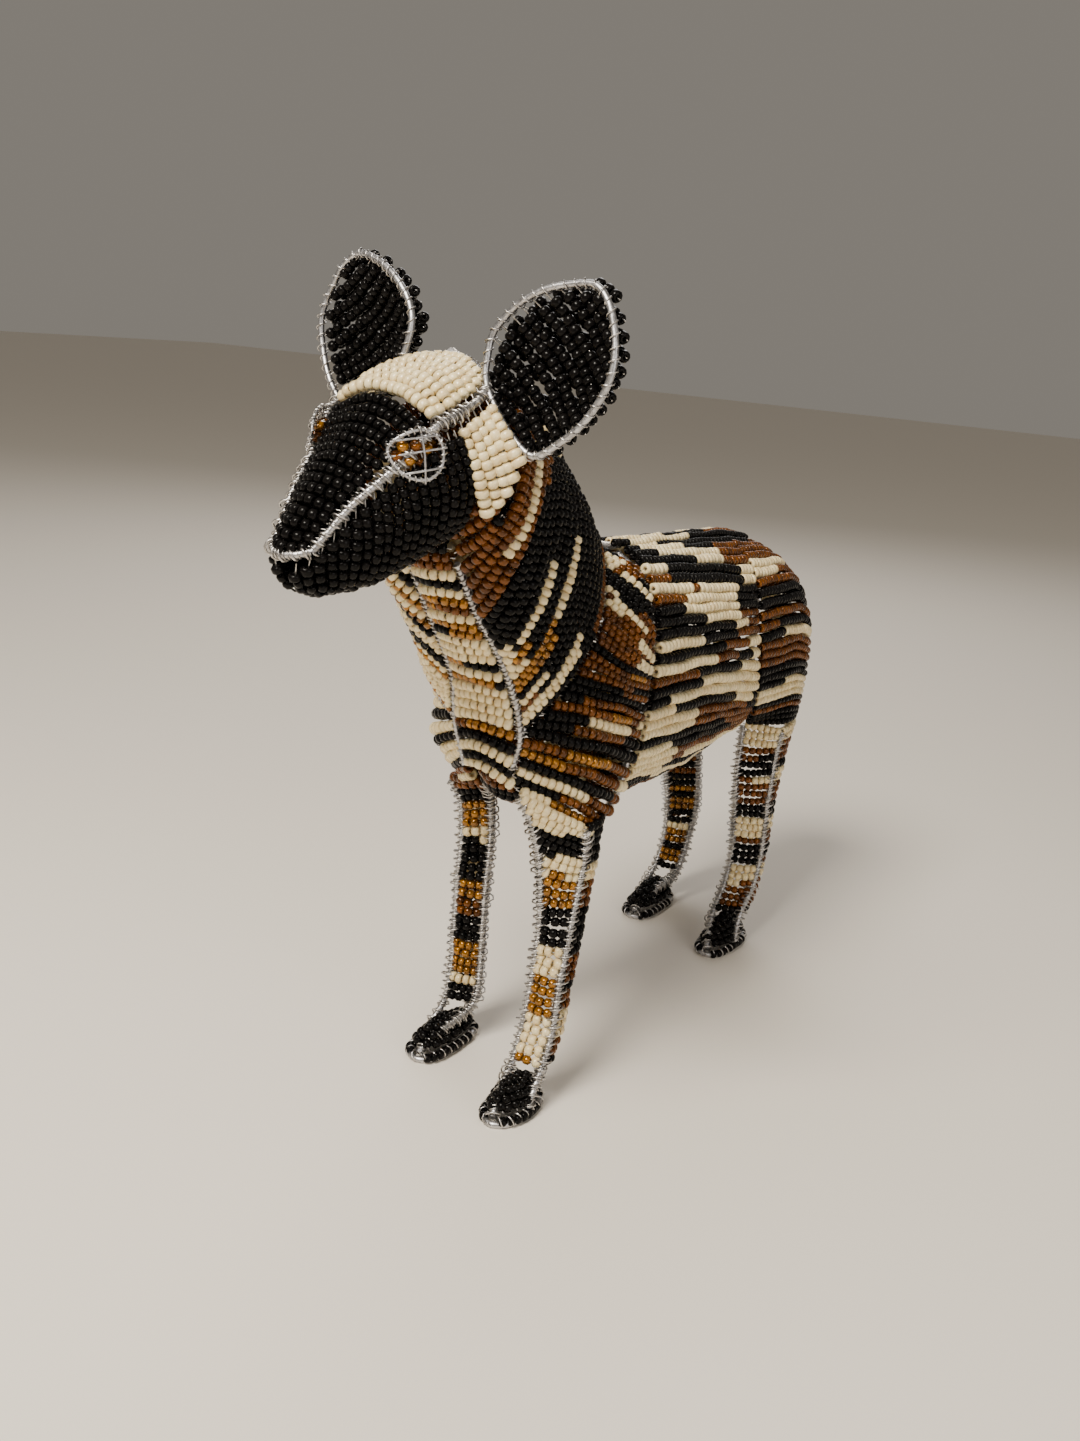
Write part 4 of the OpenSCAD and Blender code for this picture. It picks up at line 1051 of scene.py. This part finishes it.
panel("rump", crossing_rows([rump_a, rump_m, rump_b, rump_end], len(RUMP), slides=RUMP_SLIDES), RUMP,
      ("rump_beads",), 11, (0.0, 1.2), both=True, far_patterns=RUMP_FAR)
panel("brisket", crossing_rows([brisket_edge, brisket_mid, brisket_far], 14),
      ["b", "k", "b", "c", "b", "k", "b"], ("brisket_beads",), 12, (1.0, 1.0))
panel("groin", crossing_rows([groin_edge, groin_mid, other_side(groin_edge)], 10),
      ["b", "k", "b", "c", "b"], ("groin_beads",), 13, (1.0, 1.0))

# ---------------------------------------------------------------- legs and feet
for number, (key, leg) in enumerate(LEGS.items()):
    side = 1 if leg["middle"] > 0 else -1
    front_bow = (leg["inner"] + leg["outer"]) / 2 + np.array([1.6, 0.6 * side, 0]) * MM
    side_bow = (leg["outer"] + leg["rear"]) / 2 + np.array([0, 2.4 * side, 0]) * MM
    front_rows = crossing_rows([leg["inner"], front_bow, leg["outer"]],
                               len(LEG_FRONT[key]), 1, 1)
    side_rows = crossing_rows([leg["outer"], side_bow, leg["rear"]], len(LEG_SIDE[key]), 1, 1)
    panel(key + "_leg", rows_ahead(front_rows, 1) + front_rows,
          LEG_FRONT[key][:1] + LEG_FRONT[key], (key + "_leg_beads",), 20 + number,
          (0.9, 0.9), extra_rows=rows_ahead(side_rows, 1) + side_rows,
          extra_patterns=LEG_SIDE[key][:1] + LEG_SIDE[key])


def foot_rows(leg, count=9):
    toe, heel, y = (leg["toe"] * FIT[0], leg["heel"] * FIT[0], leg["middle"] * FIT[1])
    w, z0, ankle = 6.0, ARMATURE_WIRE / MM + 2.4, leg["ankle"] * FIT[2]
    left = np.array([[toe - 1.5, y + 1.6, z0], [toe - 6, y + w * 0.86, z0],
                     [(toe + heel) / 2, y + w, z0], [heel + 5, y + w * 0.8, z0],
                     [heel + 1.5, y + 1.6, z0]]) * MM
    right = left * np.array([1, -1, 1]) + np.array([0, 2 * y, 0]) * MM
    top = np.array([[toe - 2.5, y, z0 + 2], [toe - 7, y, z0 + 5.4],
                    [(toe + heel) / 2, y, ankle - 4.4], [heel + 6, y, ankle - 6],
                    [heel + 2.5, y, z0 + 2]]) * MM
    return crossing_rows([left, top, right], count, 0.5, 0.5)


def foot_rings(leg):
    """Beads strung round the outside of a sole loop."""
    loop = dense(sole_loop(leg), True, 60)
    middle = loop.mean(axis=0)
    away = loop - middle
    away /= np.linalg.norm(away, axis=1)[:, None]
    ring = loop + away * 0.5 * MM
    ring[:, 2] = 2.0 * MM
    return [ring[3:21], ring[24:40], ring[42:57]]


feet_rows = [row for leg in LEGS.values() for row in foot_rows(leg) + foot_rings(leg)]
panel("foot", feet_rows, ["k"], ("foot_beads",), 30, (0.2, 0.2), fitted_to_rows=False)

# ---------------------------------------------------------------- floor, light and camera
FLOOR_REACH = 6.0
SENSOR_WIDTH = 36.0
LENS = 34.65
CAMERA_PLACE = (0.4488, 0.2214, 0.2480)
CAMERA_AIM = (-0.836, -0.478, -0.270)
CAMERA_UP = (-0.188, -0.212, 0.959)


def flat_floor():
    mesh = bpy.data.meshes.new("pale_floor")
    r = FLOOR_REACH
    mesh.from_pydata([(-r, -r, 0), (r, -r, 0), (r, r, 0), (-r, r, 0)], [], [(0, 1, 2, 3)])
    floor = bpy.data.objects.new("pale_floor", mesh)
    bpy.context.scene.collection.objects.link(floor)
    made, _, _, shader = material("pale_floor")
    shader.inputs["Base Color"].default_value = (0.86, 0.80, 0.71, 1)
    shader.inputs["Roughness"].default_value = 0.75
    mesh.materials.append(made)


def soft_light(name, place, aim, size, power, colour):
    data = bpy.data.lights.new(name, "AREA")
    data.shape, data.size, data.energy, data.color = "DISK", size, power, colour
    lamp = bpy.data.objects.new(name, data)
    bpy.context.scene.collection.objects.link(lamp)
    lamp.location = place
    lamp.rotation_euler = (Vector(aim) - Vector(place)).to_track_quat("-Z", "Y").to_euler()


flat_floor()
soft_light("key", (0.70, -0.05, 0.90), (0.05, 0, 0.12), 0.42, 17.0, (1.0, 0.93, 0.82))
soft_light("fill", (0.5, 1.1, 0.5), (0, 0, 0.12), 0.8, 4.0, (1.0, 0.95, 0.90))
soft_light("back", (-0.9, -0.5, 0.9), (0, 0, 0.12), 0.8, 5.0, (1.0, 0.97, 0.95))
world = bpy.data.worlds.new("studio")
world.use_nodes = True
world.node_tree.nodes["Background"].inputs["Color"].default_value = (0.86, 0.79, 0.69, 1)
world.node_tree.nodes["Background"].inputs["Strength"].default_value = 0.26
bpy.context.scene.world = world

camera_data = bpy.data.cameras.new("camera")
camera = bpy.data.objects.new("camera", camera_data)
bpy.context.scene.collection.objects.link(camera)
camera_data.sensor_width = SENSOR_WIDTH
camera_data.lens = LENS
camera_data.clip_start = 0.01
forward = Vector(CAMERA_AIM).normalized()
right = forward.cross(Vector(CAMERA_UP)).normalized()
upward = right.cross(forward).normalized()
camera.matrix_world = Matrix((
    (right.x, upward.x, -forward.x, CAMERA_PLACE[0]),
    (right.y, upward.y, -forward.y, CAMERA_PLACE[1]),
    (right.z, upward.z, -forward.z, CAMERA_PLACE[2]),
    (0, 0, 0, 1)))
bpy.context.scene.camera = camera
